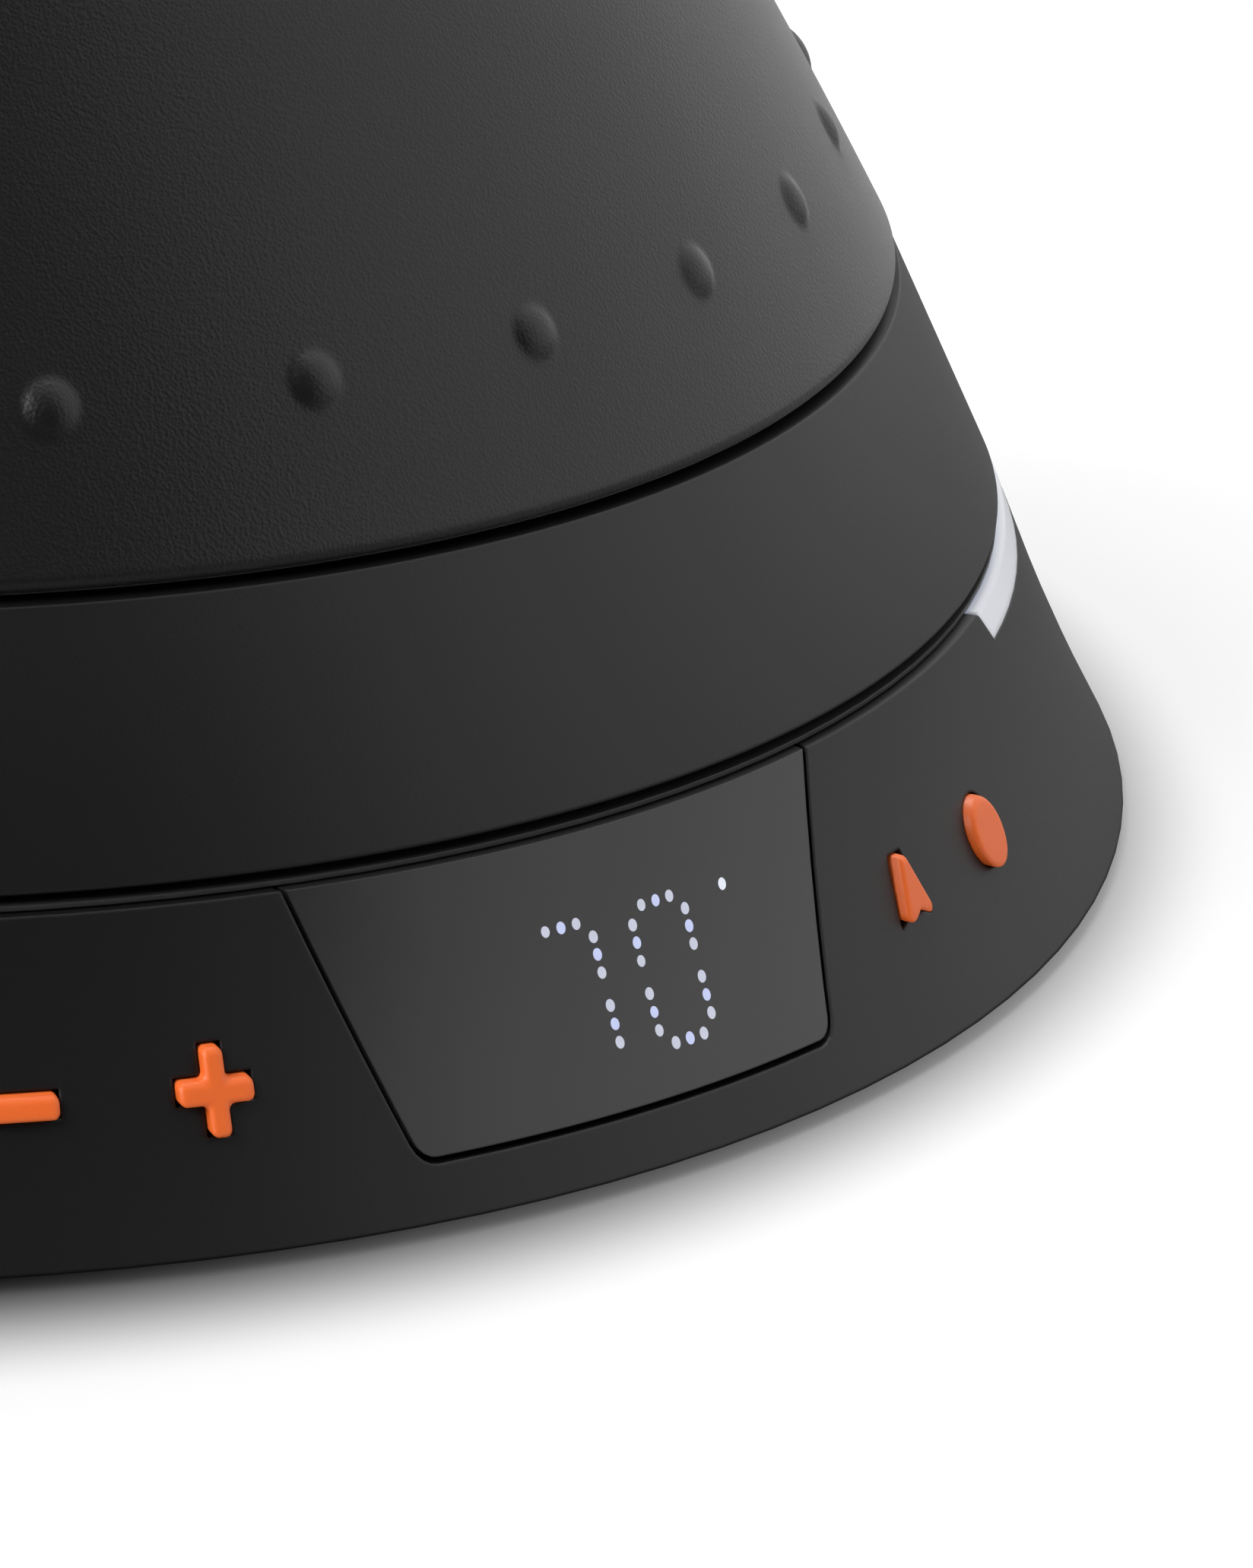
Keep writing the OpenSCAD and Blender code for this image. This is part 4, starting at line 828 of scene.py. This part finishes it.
def lidProfile():
    # a dome that is part of a ball, with a rolled rim and a flat seat for the knob
    low = lowest("lid_shell")
    ball = (lid["radius"] ** 2 + lid["height"] ** 2) / (2 * lid["height"])
    centre = low + lid["height"] - ball
    radii = np.linspace(lid["radius"] - 0.3, 0, 40)
    dome = np.stack([radii, centre + np.sqrt(ball ** 2 - radii ** 2)], axis=1)
    dome[:, 1] = np.minimum(dome[:, 1], highest("lid_shell"))
    roll = np.linspace(0, 1, 6)[:, None]
    rim = np.array([[lid["radius"] - 0.15, low]]) + roll * np.array([[0.15, 0.12]])
    inner = np.linspace(0, lid["openRadius"] - 0.2, 12)
    ceiling = np.stack([inner, centre + np.sqrt((ball - lid["wall"]) ** 2 - inner ** 2)], axis=1)
    ceiling[:, 1] = np.minimum(ceiling[:, 1], highest("lid_shell") - lid["wall"])
    return closed(np.vstack([[[lid["openRadius"], low]], rim, dome, ceiling]))


def knobProfile():
    # a slim stem under a wide round head
    low = lowest("lid_knob")
    stem, head, radius = lid["stemHeight"], lid["knobHeight"], lid["knobRadius"]
    corners = [(0, low), (lid["stemRadius"], low), (lid["stemRadius"], low + stem), (radius, low + stem),
               (radius, low + stem + head), (0, low + stem + head)]
    profile = outline(corners, [0.01, 0.3, 1.2, 1.5, 2.5, 0.01], 8)
    profile[:, 0] = np.where(profile[:, 0] < 0.05, 0, profile[:, 0])
    return profile


surface("lid_dome", turned(lidProfile()), "lid", finishes["trim_paint"], ["lid_shell"])
surface("knob_skin", turned(knobProfile(), 96), "lid", finishes["grip_plastic"], ["lid_knob"])
print("lid made")


# floor, world and lamps

paper = {
    "half": 2.5,  # metres
    "shade": 226,
    "glow": 0.5,  # share of its own light that the camera sees in it
    "mirrored": 120,  # shade of the paper in the object's reflections
    "darkFrom": -4,  # millimetres outside the base's edge where the painted contact shadow is deepest
    "darkTo": 11,  # and where it has faded
    "paleTo": 45,  # and where a faint painted shade around it ends
    "paleShare": 0.08,  # how much of the darkness that faint painted shade carries
    "paleLean": (0.285, -0.28),  # its reach shrinks by this share of the way along X and Y
    "middle": (-4.956, 0.665),  # the painted shadow's middle in millimetres
}


def makeFloor():
    # a sheet of paper with a painted contact shadow: darker in a soft ring under the edge of the base
    shader = Shader("floorPaper", Roughness=0.9, Specular_IOR_Level=0.1)
    rays = shader.add("ShaderNodeLightPath", {}, {}, "Is Camera Ray")
    mirrored = shader.add("ShaderNodeLightPath", {}, {}, "Is Glossy Ray")
    middleX, middleY = paper["middle"]
    leanX, leanY = paper["paleLean"]
    x, y = shader.axis("X") - middleX, shader.axis("Y") - middleY
    # painted contact shadow: a dark ring just outside the base's edge plus a faint wider painted shade that reaches
    # less far to one side; lit is 0 in the deepest painted shadow and 1 on plain paper, and it darkens both the colour
    # and the glow
    beyond = (x * x + y * y) ** 0.5 - base["lowRadius"]
    pale = (beyond + x * leanX + y * leanY).eased(0, paper["paleTo"])
    share = paper["paleShare"]
    lit = beyond.eased(paper["darkFrom"], paper["darkTo"]) * (1 - share) + pale * share
    plain = shader.mixed(mirrored, tint(*[paper["shade"]] * 3), tint(*[paper["mirrored"]] * 3))
    shader.paint(Base_Color=shader.mixed(lit, (0, 0, 0, 1), plain))
    glow = shader.add("ShaderNodeEmission", {}, {"Color": (1, 1, 1, 1), "Strength": lit})
    paperSurface = Wire(shader, shader.surface.outputs[0])
    both = shader.add("ShaderNodeMixShader", {}, {0: rays * paper["glow"], 1: paperSurface, 2: glow})
    shader.tree.links.new(both.socket, shader.tree.nodes["Material Output"].inputs["Surface"])
    half = paper["half"]
    mesh = bpy.data.meshes.new("floor")
    mesh.from_pydata([(-half, -half, 0), (half, -half, 0), (half, half, 0), (-half, half, 0)], [], [(0, 1, 2, 3)])
    mesh.materials.append(shader.material)
    floor = bpy.data.objects.new("floor", mesh)
    bpy.context.scene.collection.objects.link(floor)


studio = {
    "backGlow": 0.92,  # brightness of the surroundings beyond the object
    "frontGlow": 0,  # and on the camera's side
    "turnRight": 26,  # degrees the bright side is turned to the picture's right
    "spread": (-0.1, 0.15),
}


def makeWorld():
    # surroundings that fade from white beyond the object to dark behind the camera; the camera sees plain white
    world = bpy.data.worlds.new("studio")
    bpy.context.scene.world = world
    world.use_nodes = True
    shader = NodeTree(world.node_tree)
    shader.tree.nodes.clear()
    turn = math.radians(studio["turnRight"])
    aim = flatForward * math.cos(turn) + flatRight * math.sin(turn)
    towards = shader.add("ShaderNodeTexCoord", {}, {}, "Generated")
    share = shader.add("ShaderNodeVectorMath", {"operation": "DOT_PRODUCT"}, {0: towards, 1: aim}, "Value")
    low, high = studio["spread"]
    glow = share.eased(low, high) * (studio["backGlow"] - studio["frontGlow"]) + studio["frontGlow"]
    seen = shader.add("ShaderNodeLightPath", {}, {}, "Is Camera Ray")
    strength = glow.maths("MAXIMUM", glow, seen)
    light = shader.add("ShaderNodeBackground", {}, {"Color": (1, 1, 1, 1), "Strength": strength})
    out = shader.tree.nodes.new("ShaderNodeOutputWorld")
    shader.tree.links.new(light.socket, out.inputs["Surface"])


lamps = {  # places: metres away from the camera, to its right and up
    "topSoftbox": {"place": (0.8, -0.25, 1.1), "size": 1.0, "power": 24},
    "leftSoftbox": {"place": (-0.6, -0.7, 0.75), "size": 0.8, "power": 15},
}


def areaLamp(name, place, size, power, aim=(0, 0, 0.03)):
    data = bpy.data.lights.new(name, "AREA")
    data.shape = "SQUARE"
    data.size = size
    data.energy = power
    lamp = bpy.data.objects.new(name, data)
    lamp.location = place
    lamp.rotation_euler = (Vector(place) - Vector(aim)).to_track_quat("Z", "Y").to_euler()
    bpy.context.scene.collection.objects.link(lamp)


flatForward = Vector((pictureForward.x, pictureForward.y, 0)).normalized()
flatRight = Vector((flatForward.y, -flatForward.x, 0))
makeFloor()
makeWorld()
for name, settings in lamps.items():
    along, across, above = settings["place"]
    place = flatForward * along + flatRight * across + Vector((0, 0, above))
    areaLamp(name, place, settings["size"], settings["power"])
bpy.context.scene.view_settings.view_transform = "Standard"
print("studio set")
